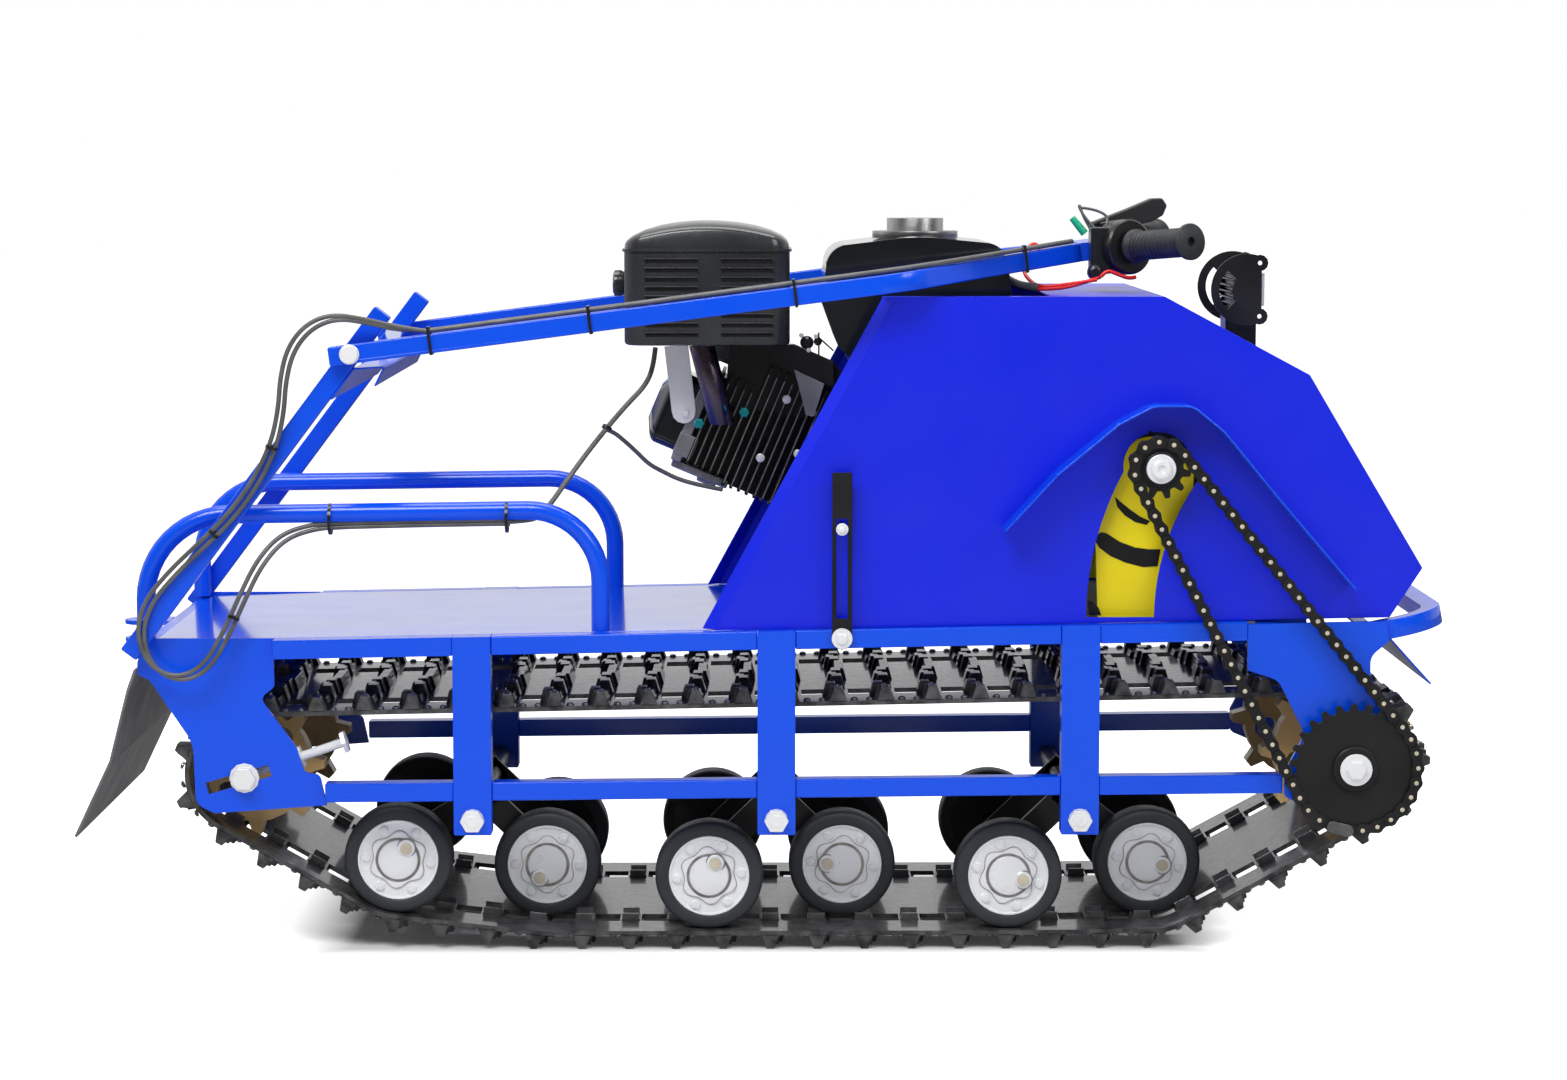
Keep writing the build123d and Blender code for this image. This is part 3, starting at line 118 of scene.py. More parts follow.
class Nodes:
    """A small helper that adds shader nodes and joins them."""

    def __init__(self, name):
        self.material = bpy.data.materials.new(name)
        self.material.use_nodes = True
        self.tree = self.material.node_tree
        self.shader = self.tree.nodes["Principled BSDF"]

    def add(self, kind, **values):
        node = self.tree.nodes.new(kind)
        for key, value in values.items():
            if key in node.inputs:
                node.inputs[key].default_value = value
            else:
                setattr(node, key, value)
        return node

    def join(self, source, output, target, socket):
        self.tree.links.new(source.outputs[output], target.inputs[socket])

    def set(self, **values):
        for key, value in values.items():
            self.shader.inputs[key.replace("_", " ")].default_value = value

    def noise(self, scale, detail):
        noise = self.add("ShaderNodeTexNoise", Scale=scale, Detail=detail)
        self.join(self.add("ShaderNodeTexCoord"), "Object", noise, "Vector")
        return noise

    def ramp(self, source, output, low, high, dark, light):
        ramp = self.add("ShaderNodeValToRGB")
        ramp.color_ramp.elements[0].position = low
        ramp.color_ramp.elements[0].color = dark
        ramp.color_ramp.elements[1].position = high
        ramp.color_ramp.elements[1].color = light
        self.join(source, output, ramp, "Fac")
        return ramp

    def bump(self, source, output, strength, distance):
        bump = self.add("ShaderNodeBump", Strength=strength, Distance=distance)
        self.join(source, output, bump, "Height")
        self.join(bump, "Normal", self.shader, "Normal")


def grey(value):
    return (value, value, value, 1)


materials = {}
coat_rough = 0.08
grain_depth = 0.0006


def mixed(name, color, variation, scale, rough, metal=0.0, coat=0.0, grain=0.0,
          grain_scale=900, light=None):
    """A surface with a slow colour drift, uneven gloss and a fine grain."""
    nodes = Nodes(name)
    dark = [c * (1 - variation) for c in color]
    pale = light or [min(1, c * (1 + variation)) for c in color]
    tint = nodes.ramp(nodes.noise(scale, 4), "Fac", 0.35, 0.68, (*dark, 1), (*pale, 1))
    nodes.join(tint, "Color", nodes.shader, "Base Color")
    low, high = grey(rough * 0.85), grey(min(1, rough * 1.2))
    gloss = nodes.ramp(nodes.noise(scale * 3, 3), "Fac", 0.3, 0.7, low, high)
    nodes.join(gloss, "Color", nodes.shader, "Roughness")
    nodes.set(Metallic=metal, Coat_Weight=coat, Coat_Roughness=coat_rough)
    if grain:
        nodes.bump(nodes.noise(grain_scale, 2), "Fac", grain, grain_depth)
    materials[name] = nodes.material


# The heights, in metres, between which the exhaust pipe's heat tints lie
pipe_foot, pipe_top = 0.55, 0.645


def heated(name):
    """Chromed pipe with brown and purple heat tints along its fall."""
    nodes = Nodes(name)
    split = nodes.add("ShaderNodeSeparateXYZ")
    nodes.join(nodes.add("ShaderNodeTexCoord"), "Object", split, "Vector")
    span = nodes.add("ShaderNodeMapRange")
    nodes.join(split, "Z", span, "Value")
    span.inputs["From Min"].default_value = pipe_foot
    span.inputs["From Max"].default_value = pipe_top
    band = nodes.ramp(span, "Result", 0.0, 1.0, (0.10, 0.08, 0.16, 1), (0.26, 0.17, 0.14, 1))
    middle = band.color_ramp.elements.new(0.55)
    middle.color = (0.30, 0.24, 0.32, 1)
    nodes.join(band, "Color", nodes.shader, "Base Color")
    gloss = nodes.ramp(nodes.noise(60, 3), "Fac", 0.3, 0.7, grey(0.2), grey(0.34))
    nodes.join(gloss, "Color", nodes.shader, "Roughness")
    nodes.set(Metallic=1.0)
    materials[name] = nodes.material


mixed("frame_blue", frame_blue, 0.03, 5, 0.22, coat=0.3, grain=0.03, grain_scale=160)
mixed("deck_blue", frame_blue, 0.03, 5, 0.2, coat=1.0, grain=0.03, grain_scale=160)
mixed("hood_blue", hood_blue, 0.03, 3, 0.34, coat=0.2, grain=0.03, grain_scale=180)
mixed("support_yellow", (1.0, 0.80, 0.0), 0.02, 8, 0.4, coat=0.1, grain=0.04)
mixed("black_paint", (0.012, 0.012, 0.013), 0.3, 12, 0.36, coat=0.25, grain=0.12)
mixed("zinc", (0.93, 0.94, 0.95), 0.03, 12, 0.3, metal=0.15, coat=0.3, grain=0.04)
# Grey metal for the fins' edges, also used for the dark rings of painted shade on the wheels' rims
mixed("fin_metal_and_gap_shade", (0.46, 0.44, 0.41), 0.3, 60, 0.35, metal=0.7, grain=0.1)
mixed("muffler_paint", (0.030, 0.032, 0.035), 0.2, 14, 0.26, coat=0.5, grain=0.1)
# Near-black for the louvres' openings: painted shade
mixed("painted_slot_shade", (0.002, 0.002, 0.002), 0.2, 12, 0.9)
mixed("steel", (0.40, 0.40, 0.41), 0.2, 40, 0.32, metal=1.0, grain=0.15)
mixed("cast_grey", (0.46, 0.46, 0.47), 0.12, 30, 0.42, metal=0.8, grain=0.4)
mixed("track_rubber", (0.04, 0.04, 0.043), 0.5, 70, 0.38, coat=0.7, grain=0.5, grain_scale=420,
      light=(0.10, 0.10, 0.10))
mixed("tyre_rubber", (0.036, 0.041, 0.046), 0.12, 20, 0.5, grain=0.15, grain_scale=600)
mixed("grip_rubber", (0.028, 0.030, 0.033), 0.2, 40, 0.5, grain=0.25)
mixed("flap_rubber", (0.17, 0.17, 0.18), 0.2, 8, 0.4, coat=0.2, grain=0.25, grain_scale=200)
mixed("sprocket_tan", (0.62, 0.40, 0.16), 0.12, 30, 0.35, coat=0.2, grain=0.12)
mixed("black_plastic", (0.014, 0.015, 0.017), 0.25, 10, 0.28, coat=0.25, grain=0.08)
mixed("lamp_glass", (0.8, 0.82, 0.85), 0.04, 30, 0.08, coat=1.0)
mixed("cable_rubber", (0.12, 0.12, 0.118), 0.2, 40, 0.34, coat=0.3, grain=0.06)
mixed("gloss_black", (0.01, 0.012, 0.014), 0.2, 14, 0.12, coat=0.9)
mixed("sheath_green", (0.01, 0.55, 0.28), 0.1, 30, 0.3, grain=0.05)
mixed("wire_red", (0.85, 0.02, 0.015), 0.1, 30, 0.3, grain=0.05)
mixed("plated_nut", (0.03, 0.50, 0.55), 0.15, 60, 0.28, metal=0.8, grain=0.1)
mixed("bare_beige", (0.62, 0.55, 0.42), 0.1, 40, 0.45, grain=0.1)
heated("heated_pipe")

# How softly each solid's edges are rounded, in millimetres, where it isn't the usual amount
soft_edges = {
    "rocker_cover": 9, "fuel_tank": 16, "fuel_cap": 2, "recoil_cover": 6, "air_filter": 10,
    "engine_case": 7, "hood": 1.5, "rails": 1.8, "posts": 1.2, "struts": 1.8, "handle_tubes": 1.8,
    "brake_perch": 3, "exhaust_pipe": 0.6, "carburettor": 4,
}
usual_edge = 0.8
# In metres
weld_gap = 0.00002
# Solids whose look differs from that of their slot
shown_as = {"exhaust_pipe": "heated_pipe", "rocker_cover": "gloss_black",
            "fuel_tank": "gloss_black", "deck": "deck_blue"}


def dress_nodes():
    """Every carried-over solid gets its material and softly rounded edges."""
    slots = {part["node"]: part["material_slot"] for part in frame["record"]["subparts"]}
    for name, node in frame["nodes"].items():
        node.data.materials.clear()
        node.data.materials.append(materials[shown_as.get(name, slots[name])])
        weld = node.modifiers.new("weld", "WELD")
        weld.merge_threshold = weld_gap
        soft = soft_edges.get(name, usual_edge)
        bevel = node.modifiers.new("bevel", "BEVEL")
        bevel.width = soft / 1000
        bevel.segments = 4 if soft > 3 else 2
        bevel.limit_method = "ANGLE"
        bevel.angle_limit = math.radians(32)
        bevel.use_clamp_overlap = True
        bevel.harden_normals = True


class Piece:
    """One named piece: shapes gathered in millimetres, then made into an object on a body."""

    def __init__(self, name, material, body="chassis", nodes=()):
        self.name, self.material, self.body, self.nodes = name, material, body, nodes
        self.mesh = bmesh.new()

    def shape(self, points, faces, place=Matrix()):
        verts = [self.mesh.verts.new(place @ Vector(point)) for point in points]
        for face in faces:
            self.mesh.faces.new([verts[i] for i in face])

    def prism(self, outline, near, far, place=Matrix()):
        """An outline in X and Z carried along Y."""
        count = len(outline)
        points = [(x, near, z) for x, z in outline] + [(x, far, z) for x, z in outline]
        faces = [tuple(range(count)), tuple(range(2 * count - 1, count - 1, -1))]
        faces += [(i, i + count, (i + 1) % count + count, (i + 1) % count) for i in range(count)]
        self.shape(points, faces, place)

    def box(self, centre, size, place=Matrix()):
        x, y, z = centre
        a, b, c = (side / 2 for side in size)
        outline = [(x - a, z - c), (x + a, z - c), (x + a, z + c), (x - a, z + c)]
        self.prism(outline, y - b, y + b, place)

    def lathe(self, profile, place=Matrix(), sides=40, closed=False):
        """A profile of height and radius turned about the local Z axis."""
        points = []
        for high, radius in profile:
            for i in range(sides):
                turn = 2 * math.pi * i / sides
                points.append((radius * math.cos(turn), radius * math.sin(turn), high))
        faces = []
        rings = len(profile)
        for ring in range(rings if closed else rings - 1):
            low, high = ring * sides, (ring + 1) % rings * sides
            for i in range(sides):
                j = (i + 1) % sides
                faces.append((low + i, low + j, high + j, high + i))
        if not closed:
            faces.append(tuple(range(sides - 1, -1, -1)))
            faces.append(tuple(range((rings - 1) * sides, rings * sides)))
        self.shape(points, faces, place)

    def tube(self, line, radius, sides=10):
        """A round tube along a line of points."""
        rows = []
        side = None
        for i, here in enumerate(line):
            before, after = line[max(i - 1, 0)], line[min(i + 1, len(line) - 1)]
            run = (after - before).normalized()
            if side is None:
                side = run.orthogonal().normalized()
            side = (side - run * side.dot(run)).normalized()
            other = run.cross(side)
            turns = [2 * math.pi * k / sides for k in range(sides)]
            rows += [here + radius * (math.cos(turn) * side + math.sin(turn) * other)
                     for turn in turns]
        faces = [tuple(range(sides)), tuple(range(len(rows) - 1, len(rows) - 1 - sides, -1))]
        for ring in range(len(line) - 1):
            for k in range(sides):
                a, b = ring * sides + k, ring * sides + (k + 1) % sides
                faces.append((a, b, b + sides, a + sides))
        self.shape(rows, faces)

    def make(self, sharp=35, bevel=0.0):
        mesh = self.mesh
        bmesh.ops.recalc_face_normals(mesh, faces=mesh.faces)
        bmesh.ops.scale(mesh, vec=(0.001, 0.001, 0.001), verts=mesh.verts)
        for edge in mesh.edges:
            edge.smooth = len(edge.link_faces) == 2 and edge.calc_face_angle() < math.radians(sharp)
        for face in mesh.faces:
            face.smooth = True
        data = bpy.data.meshes.new(self.name)
        mesh.to_mesh(data)
        mesh.free()
        made = bpy.data.objects.new(self.name, data)
        bpy.context.scene.collection.objects.link(made)
        data.materials.append(materials[self.material])
        if bevel:
            soft = made.modifiers.new("bevel", "BEVEL")
            soft.width = bevel / 1000
            soft.segments = 2
            soft.limit_method = "ANGLE"
            soft.angle_limit = math.radians(sharp)
            soft.harden_normals = True
        if self.body:
            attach(made, self.body)
        if self.nodes:
            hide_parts(*self.nodes)
        return made


def outward(x, y, z, side):
    """A place whose local Z axis points away from the machine's middle."""
    return Matrix.Translation((x, y, z)) @ Matrix.Rotation(math.radians(-90 * side), 4, "X")


def facing(point, direction):
    """A place whose local Z axis points along a direction."""
    turn = Vector(direction).to_track_quat("Z", "Y").to_matrix().to_4x4()
    return Matrix.Translation(point) @ turn


def bolt(piece, place, dia, high, washer=0.0):
    """A hexagon head with a chamfered top on a washer."""
    base = 0
    if washer:
        piece.lathe([(0, washer / 2), (1.4, washer / 2), (1.6, washer / 2 - 0.4)], place, 28)
        base = 1.6
    head = [(base, dia / 2), (base + high * 0.8, dia / 2), (base + high, dia * 0.42)]
    piece.lathe(head, place, 6)


def smooth_line(points):
    """Places along the order-3 NURBS that given points steer, in millimetres."""
    data = bpy.data.curves.new("line", "CURVE")
    data.dimensions = "3D"
    spline = data.splines.new("NURBS")
    spline.points.add(len(points) - 1)
    for slot, point in zip(spline.points, points):
        slot.co = (*(Vector(point) / 1000), 1)
    spline.order_u = 3
    spline.use_endpoint_u = True
    spline.resolution_u = 10
    made = bpy.data.objects.new("line", data)
    bpy.context.scene.collection.objects.link(made)
    bpy.context.view_layer.update()
    mesh = bpy.data.meshes.new_from_object(made)
    line = [vertex.co * 1000 for vertex in mesh.vertices]
    bpy.data.objects.remove(made)
    return line


class Loop:
    """A closed tight line round circles, given anticlockwise as seen from the near side."""

    def __init__(self, circles):
        self.parts = []
        turns = []
        ring = list(zip(circles, circles[1:] + circles[:1]))
        for (x0, z0, r0), (x1, z1, r1) in ring:
            run = math.hypot(x1 - x0, z1 - z0)
            lean = math.asin((r0 - r1) / run) - math.pi / 2
            turns.append(math.atan2(z1 - z0, x1 - x0) + lean)
        for i, ((x, z, radius), (x1, z1, r1)) in enumerate(ring):
            start, turn = turns[i - 1], turns[i]
            swept = (turn - start) % (2 * math.pi)
            ax, az = x + radius * math.cos(turn), z + radius * math.sin(turn)
            bx, bz = x1 + r1 * math.cos(turn), z1 + r1 * math.sin(turn)
            self.parts.append((True, x, z, radius, start, radius * swept))
            self.parts.append((False, ax, az, 0, turn, math.hypot(bx - ax, bz - az)))
        self.length = sum(part[5] for part in self.parts)

    def at(self, distance):
        left = distance % self.length
        for arc, x, z, radius, angle, length in self.parts:
            if left <= length:
                if arc:
                    out = angle + left / radius
                    return x + radius * math.cos(out), z + radius * math.sin(out), out
                return x - left * math.sin(angle), z + left * math.cos(angle), angle
            left -= length
        return self.at(0)


belt_radius = wheel_radius + belt_thick / 2
belt_wheels = [(wheels[i][0], wheels[i][1], belt_radius) for i in (0, 1, 4, 5)]
belt = Loop([idler, *belt_wheels, drive])
chain_line = Loop([(drive[0], drive[1], big_radius), (jack[0], jack[1], small_radius)])


def build_belt():
    """The track's belt with its two rows of windows."""
    # Edges of the strips across the belt, then how far along the pitch each cut lies and
    # if a window starts there
    rows = [-track_half, -window_row - window_half, -window_row + window_half,
            window_row - window_half, window_row + window_half, track_half]
    shares = [(-0.5, False), (-0.38, False), (-0.27, True), (-0.13, True), (0.0, True),
              (0.13, True), (0.27, False), (0.38, False)]
    cells = [((i + share) * lug_pitch, hole) for i in range(lug_count) for share, hole in shares]
    count, strips, window_strips = len(cells), len(rows) - 1, (1, 3)
    piece = Piece("track_belt", "track_rubber", nodes=["track"])
    verts = {}
    for i, (distance, _) in enumerate(cells):
        x, z, out = belt.at(distance)
        for layer, shift in ((0, -belt_thick / 2), (1, belt_thick / 2)):
            for j, y in enumerate(rows):
                place = (x + shift * math.cos(out), y, z + shift * math.sin(out))
                verts[i, layer, j] = piece.mesh.verts.new(place)

    def solid(i, j):
        return 0 <= j < strips and not (cells[i % count][1] and j in window_strips)

    def face(*keys):
        piece.mesh.faces.new([verts[key] for key in keys])

    for i in range(count):
        after = (i + 1) % count
        for j in range(strips):
            if not solid(i, j):
                continue
            face((i, 1, j), (after, 1, j), (after, 1, j + 1), (i, 1, j + 1))
            face((i, 0, j), (i, 0, j + 1), (after, 0, j + 1), (after, 0, j))
            if not solid(i, j - 1):
                face((i, 0, j), (after, 0, j), (after, 1, j), (i, 1, j))
            if not solid(i, j + 1):
                face((i, 0, j + 1), (i, 1, j + 1), (after, 1, j + 1), (after, 0, j + 1))
            if not solid(i - 1, j):
                face((i, 0, j), (i, 1, j), (i, 1, j + 1), (i, 0, j + 1))
            if not solid(i + 1, j):
                face((after, 0, j), (after, 0, j + 1), (after, 1, j + 1), (after, 1, j))
    piece.make(sharp=30)


# Each block of a lug: its ends across the track, shift along it, height, and base and tip lengths
lug_blocks = [
    (-190, -172, 0, 15, 20, 8), (-172, -156, 4, 14, 17, 9), (-156, -139, 8, 15, 18, 10),
    (-139, -101, 4, 7, 22, 16), (-101, -80, 0, 15, 19, 10), (-80, -58, 4, 14, 17, 9),
    (-58, -34, 0, 15, 19, 10), (-34, 0, -4, 14, 17, 9),
]


lug_foot = 1.0
lug_trim = 0.6
rivet_row = 184
rivet = [(0, 4), (2.2, 3.6), (3.2, 1.6)]


def build_lugs():
    """A stepped lug across each pitch, steel clips inside the belt, and rivets at its edges."""
    piece = Piece("track_lugs", "track_rubber")
    clips = Piece("track_clips", "steel")
    face = belt_thick / 2
    for i in range(lug_count):
        x, z, out = belt.at((i + 0.5) * lug_pitch)
        place = Matrix.Translation((x, 0, z)) @ Matrix.Rotation(-out, 4, "Y")
        for start, end, shift, high, base, tip in lug_blocks:
            low, top = lug_foot, face + high - lug_trim
            outline = [(low, shift - base / 2), (top, shift - tip / 2), (top, shift + tip / 2),
                       (low, shift + base / 2)]
            for side in (1, -1):
                near, far = sorted((side * start, side * end))
                piece.prism(outline, near, far, place)
        for side in (1, -1):
            row = side * window_row
            clips.box((-face - 0.8, row, 0), (1.6, 30, 20), place)
            for aside in (-side * 15, side * 15):
                clips.box((-face - 4, row + aside, 0), (8, 2, 18), place)
            for along in (-17, 17):
                spot = Matrix.Translation((face, side * rivet_row, along))
                clips.lathe(rivet, place @ spot @ Matrix.Rotation(math.radians(90), 4, "Y"), 12)
    piece.make(sharp=30, bevel=0.8)
    clips.make(sharp=30, bevel=0.3)


# Height from the wheel's face and radius round a tyre's section
tyre_profile = [
    (-36, 44), (-36, 53), (-34.5, 56), (-31, 57.8), (-26, 58), (-10, 58), (-5, 57.8), (-2, 56.6),
    (-0.6, 54.6), (0, 52), (0, 44.4), (-0.8, 43.4), (-3, 43), (-33, 43), (-35, 43.2),
]
rim_profile = [
    (-34, 43), (-32, 43), (-4, 43.2), (-1.2, 43.2), (-0.5, 42.6), (-0.8, 41.4), (-2.6, 40.4),
    (-3.2, 38.8), (-3.2, 27), (-4, 9), (-34, 9),
]
dome_profile = [(-2, 23.4), (-1.4, 23), (-1.2, 21.6), (1.4, 20.6), (2.6, 17), (3.1, 10), (3.2, 4)]
# The black disc of painted shade behind each rim, as height and radius
back_profile = [(-36.4, 9), (-36.4, 45), (-34.2, 45.4), (-34.2, 9)]
rim_bolt = [(0, 5.4), (1.4, 5.3), (2.8, 4.6), (3.6, 2.6)]
rim_bolt_circle = 34.6
rim_bolt_depth = 3.2
nub_shift = 16
lobe_steps = 72
lobe_reach = 2.5
# Which way each wheel's grease nub points, in degrees past straight up
nub_turns = (-35, 149, -25, 85, -105, -100)


def lobed(size):
    """A round outline with six lobes."""
    outline = []
    for i in range(lobe_steps):
        turn = 2 * math.pi * i / lobe_steps
        radius = size + lobe_reach * math.cos(6 * turn)
        outline.append((radius * math.cos(turn), radius * math.sin(turn)))
    return outline


def build_wheels():
    """Tyres and dished rims with lobed plates, a dome, six bolts and a grease nub, with dark rings
    of painted shade round the plates, the domes and the nubs.
    """
    tyres = Piece("road_wheel_tyres", "tyre_rubber", nodes=["wheel_tyres"])
    rims = Piece("road_wheel_rims", "zinc", nodes=["wheel_rims"])
    plugs = Piece("road_wheel_plugs", "bare_beige")
    # Dark rings of painted shade in the gaps round the lobed plates, the domes and the grease nubs
    gap_shade = Piece("road_wheel_painted_gap_shade", "fin_metal_and_gap_shade")
    # Each lobed plate's piece, size, and how deep its two sides lie; the first, largest one is a
    # dark ring of painted shade in the gap round the plate's edge
    plates = ((gap_shade, 29.5, 3.0, 4), (rims, 28.6, 1.4, 4), (rims, 27.6, 0.6, 1.4))
    for (x, z, face), nub_turn in zip(wheels, nub_turns):
        for side in (-1, 1):
            place = outward(x, side * face, z, side)
            tyres.lathe(tyre_profile, place, 56, closed=True)
            rims.lathe(rim_profile, place, 48, closed=True)
            turned = place @ Matrix.Rotation(math.radians(nub_turn), 4, "Z")
            plate = turned @ Matrix.Rotation(math.radians(90), 4, "X")
            for shown, size, low, high in plates:
                shown.prism(lobed(size), -high, -low, plate)
            # A dark ring of painted shade round the dome's foot
            gap_shade.lathe([(-1, 24.2), (-0.5, 24.2), (-0.4, 23)], place, 40)
            rims.lathe(dome_profile, place, 40)
            for i in range(6):
                turn = math.radians(60 * i + 30)
                across, up = rim_bolt_circle * math.cos(turn), rim_bolt_circle * math.sin(turn)
                spot = turned @ Matrix.Translation((across, up, -rim_bolt_depth))
                rims.lathe(rim_bolt, spot, 16)
            nub = turned @ Matrix.Translation((0, nub_shift, 1))
            # A dark ring of painted shade round the nub's foot
            gap_shade.lathe([(-2, 10.6), (1.6, 10.4), (1.8, 9)], nub, 24)
            rims.lathe([(-2, 9.4), (2.4, 9.2), (3.2, 8.2)], nub, 24)
            plugs.lathe([(1, 6.4), (5, 6.2), (5.6, 5)], nub, 20)
    tyres.make(sharp=50)
    rims.make(sharp=28)
    plugs.make()
    gap_shade.make()


def build_bogies():
    """Rocking arms behind the inner wheels, their cross shafts and axles, and a black disc of
    painted shade on each wheel's inner side, behind its rim.
    """
    piece = Piece("bogie_arms", "black_paint", nodes=["bogies"])
    for k, x in enumerate(bogie_pivots):
        shaft = [(-bogie_shaft_half, 10), (bogie_shaft_half, 10)]
        piece.lathe(shaft, outward(x, 0, bogie_rise, -1), 28)
        for wx, wz, face in wheels[2 * k:2 * k + 2]:
            piece.lathe([(-face + 8, 8), (face - 8, 8)], outward(wx, 0, wz, -1), 24)
            run = Vector((wx - x, 0, wz - bogie_rise))
            lean = Matrix.Rotation(-math.atan2(run.z, run.x), 4, "Y")
            place = Matrix.Translation((x, 0, bogie_rise)) @ lean
            for side in (-1, 1):
                row = side * bogie_arm_row
                piece.box((run.length / 2, row, 0), (run.length + 26, 6, 30), place)
                piece.lathe([(-4, 15), (4, 15)], outward(wx, row, wz, side), 28)
    piece.make(sharp=30, bevel=1)
    # Black discs on the wheels' inner sides: painted shade on the backs of the rims
    back_shade = Piece("road_wheel_painted_back_shade", "black_paint")
    for x, z, face in wheels:
        for side in (-1, 1):
            back_shade.lathe(back_profile, outward(x, side * face, z, side), 40, closed=True)
    back_shade.make()


sprocket_near = -243.5
sprocket_far = -239


def toothed_wheel(piece, x, z, teeth, root, tip, first, hub):
    """A chain sprocket's plate with round-bottomed teeth, and its hub."""
    tooth = ((-0.5, root), (-0.32, root + 0.6), (-0.16, tip - 0.8), (-0.07, tip), (0.07, tip),
             (0.16, tip - 0.8), (0.32, root + 0.6))
    outline = []
    for i in range(teeth):
        for share, reach in tooth:
            turn = first + 2 * math.pi * (i + 0.5 + share) / teeth
            outline.append((x + reach * math.cos(turn), z + reach * math.sin(turn)))
    piece.prism(outline, sprocket_near, sprocket_far)
    piece.lathe([(0, hub), (4, hub), (5, hub - 1)], outward(x, sprocket_near, z, -1), 40)


def link_outline(start, end, radius, steps, waist=0.0):
    """A chain plate's outline round its two pins, drawn in halfway where it has a waist."""
    (x0, z0), (x1, z1) = start, end
    angle = math.atan2(z1 - z0, x1 - x0)
    across = angle + math.pi / 2
    outline = []
    for (x, z), first, side in ((end, -90, 1), (start, 90, -1)):
        for k in range(steps + 1):
            turn = angle + math.radians(first + 180 * k / steps)
            outline.append((x + radius * math.cos(turn), z + radius * math.sin(turn)))
        if waist:
            reach = side * waist
            outline.append(((x0 + x1) / 2 + reach * math.cos(across),
                            (z0 + z1) / 2 + reach * math.sin(across)))
    return outline


def build_chain():
    """Roller chain: outer and inner plates in turn, the pins' bright ends, and its sprockets."""
    plates = Piece("chain_plates", "black_paint", nodes=["chain"])
    pins = Piece("chain_pins", "bare_beige")
    pitch = chain_line.length / link_count
    spots = [chain_line.at(i * pitch)[:2] for i in range(link_count + 1)]
    for i, (x, z) in enumerate(spots[:-1]):
        outline = link_outline(spots[i], spots[i + 1], 6.9, 6, waist=4.6)
        gap = 5.2 if i % 2 else 3.5
        for side in (-1, 1):
            near = -chain_row + side * gap
            plates.prism(outline, near - 0.75, near + 0.75)
        place = outward(x, -chain_row, z, -1)
        plates.lathe([(-3, 4.9), (3, 4.9)], place, 14)
        pins.lathe([(-6.4, 2.4), (6.2, 2.4), (6.9, 1.6)], place, 12)
    plates.make(sharp=40, bevel=0.2)
    pins.make()
    clip = Piece("chain_joining_link", "steel")
    outline = link_outline(spots[joining_link], spots[joining_link + 1], 6.4, 8)
    clip.prism(outline, -chain_row - 7.6, -chain_row - 6)
    clip.make(bevel=0.3)
    rounds = Piece("chain_sprockets", "black_paint", nodes=["chain_wheel", "chain_pinion"])
    toothed_wheel(rounds, drive[0], drive[1], 26, 61.3, 69.2, 0.03, 24)
    toothed_wheel(rounds, jack[0], jack[1], 11, 23.6, 32, 0.1, 18)
    rounds.lathe([(0, 20), (9, 20)], outward(drive[0], sprocket_far, drive[1], 1), 32)
    rounds.lathe([(0, 18), (9, 18)], outward(jack[0], sprocket_far, jack[1], 1), 32)
    rounds.make(sharp=30, bevel=0.4)


# Each band's outline on the near yellow plate, as X and Z
stripe_outlines = [
    [(374, 487), (381, 481), (391, 473), (401, 466), (412, 461), (408, 457), (396, 460),
     (385, 467), (377, 476)],
    [(355, 446), (360, 449), (366, 448), (380, 439), (396, 433), (411, 431), (423, 431),
     (420, 413), (405, 412), (386, 417), (370, 424), (358, 433), (354, 440)],
    [(346, 377), (352, 375), (358, 369), (361, 361), (348, 361)],
]
plate_face = -192.4


def build_stripes():
    """Black bands on the near yellow plate."""
    bands = Piece("support_stripes", "black_paint")
    for outline in stripe_outlines:
        bands.prism(outline, plate_face - 0.3, plate_face + 0.3)
    bands.make()


# The jackshaft's round bolt on its washer
round_bolt = [(0, 15.5), (2, 15.5), (2.6, 14.6), (2.7, 11), (7, 10.6), (8.4, 8.6), (8.5, 4.6),
              (6, 4.2)]


def build_fasteners():
    """Bolts and washers at the bogies, the chain wheels, the hinge and the latch strap."""
    piece = Piece("zinc_fasteners", "zinc")
    for x in bogie_pivots:
        for side in (-1, 1):
            bolt(piece, outward(x, side * bogie_bolt_row, bogie_rise, side), 17, 8, washer=24)
    piece.lathe(round_bolt, outward(jack[0], -(chain_row + 4.6), jack[1], -1), 40)
    bolt(piece, outward(drive[0], -(chain_row + 8.6), drive[1], -1), 22, 5, washer=34)
    for side in (-1, 1):
        bolt(piece, outward(hinge.x, side * hinge_bolt_row, hinge.z, side), 15, 6, washer=21)
    low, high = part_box("latch_straps")
    x, near = (low.x + high.x) * 500, low.y * 1000
    foot, top = low.z * 1000 + 12, high.z * 1000
    for z, washer in ((foot, 22), (foot + 0.66 * (top - foot), 13)):
        place = outward(x, near, z, -1)
        piece.lathe([(-2, washer / 2), (1.6, washer / 2), (2, washer / 2 - 0.6)], place, 28)
        head = [(2, washer * 0.28), (4.6, washer * 0.27), (5.6, washer * 0.18)]
        piece.lathe(head, place, 20)
    piece.make(sharp=30, bevel=0.4)


loop_row = 194
loop_top = 469
loop_radius = 10
# Each loop's top rail rises this much for each millimetre forward
loop_slope = 0.0087


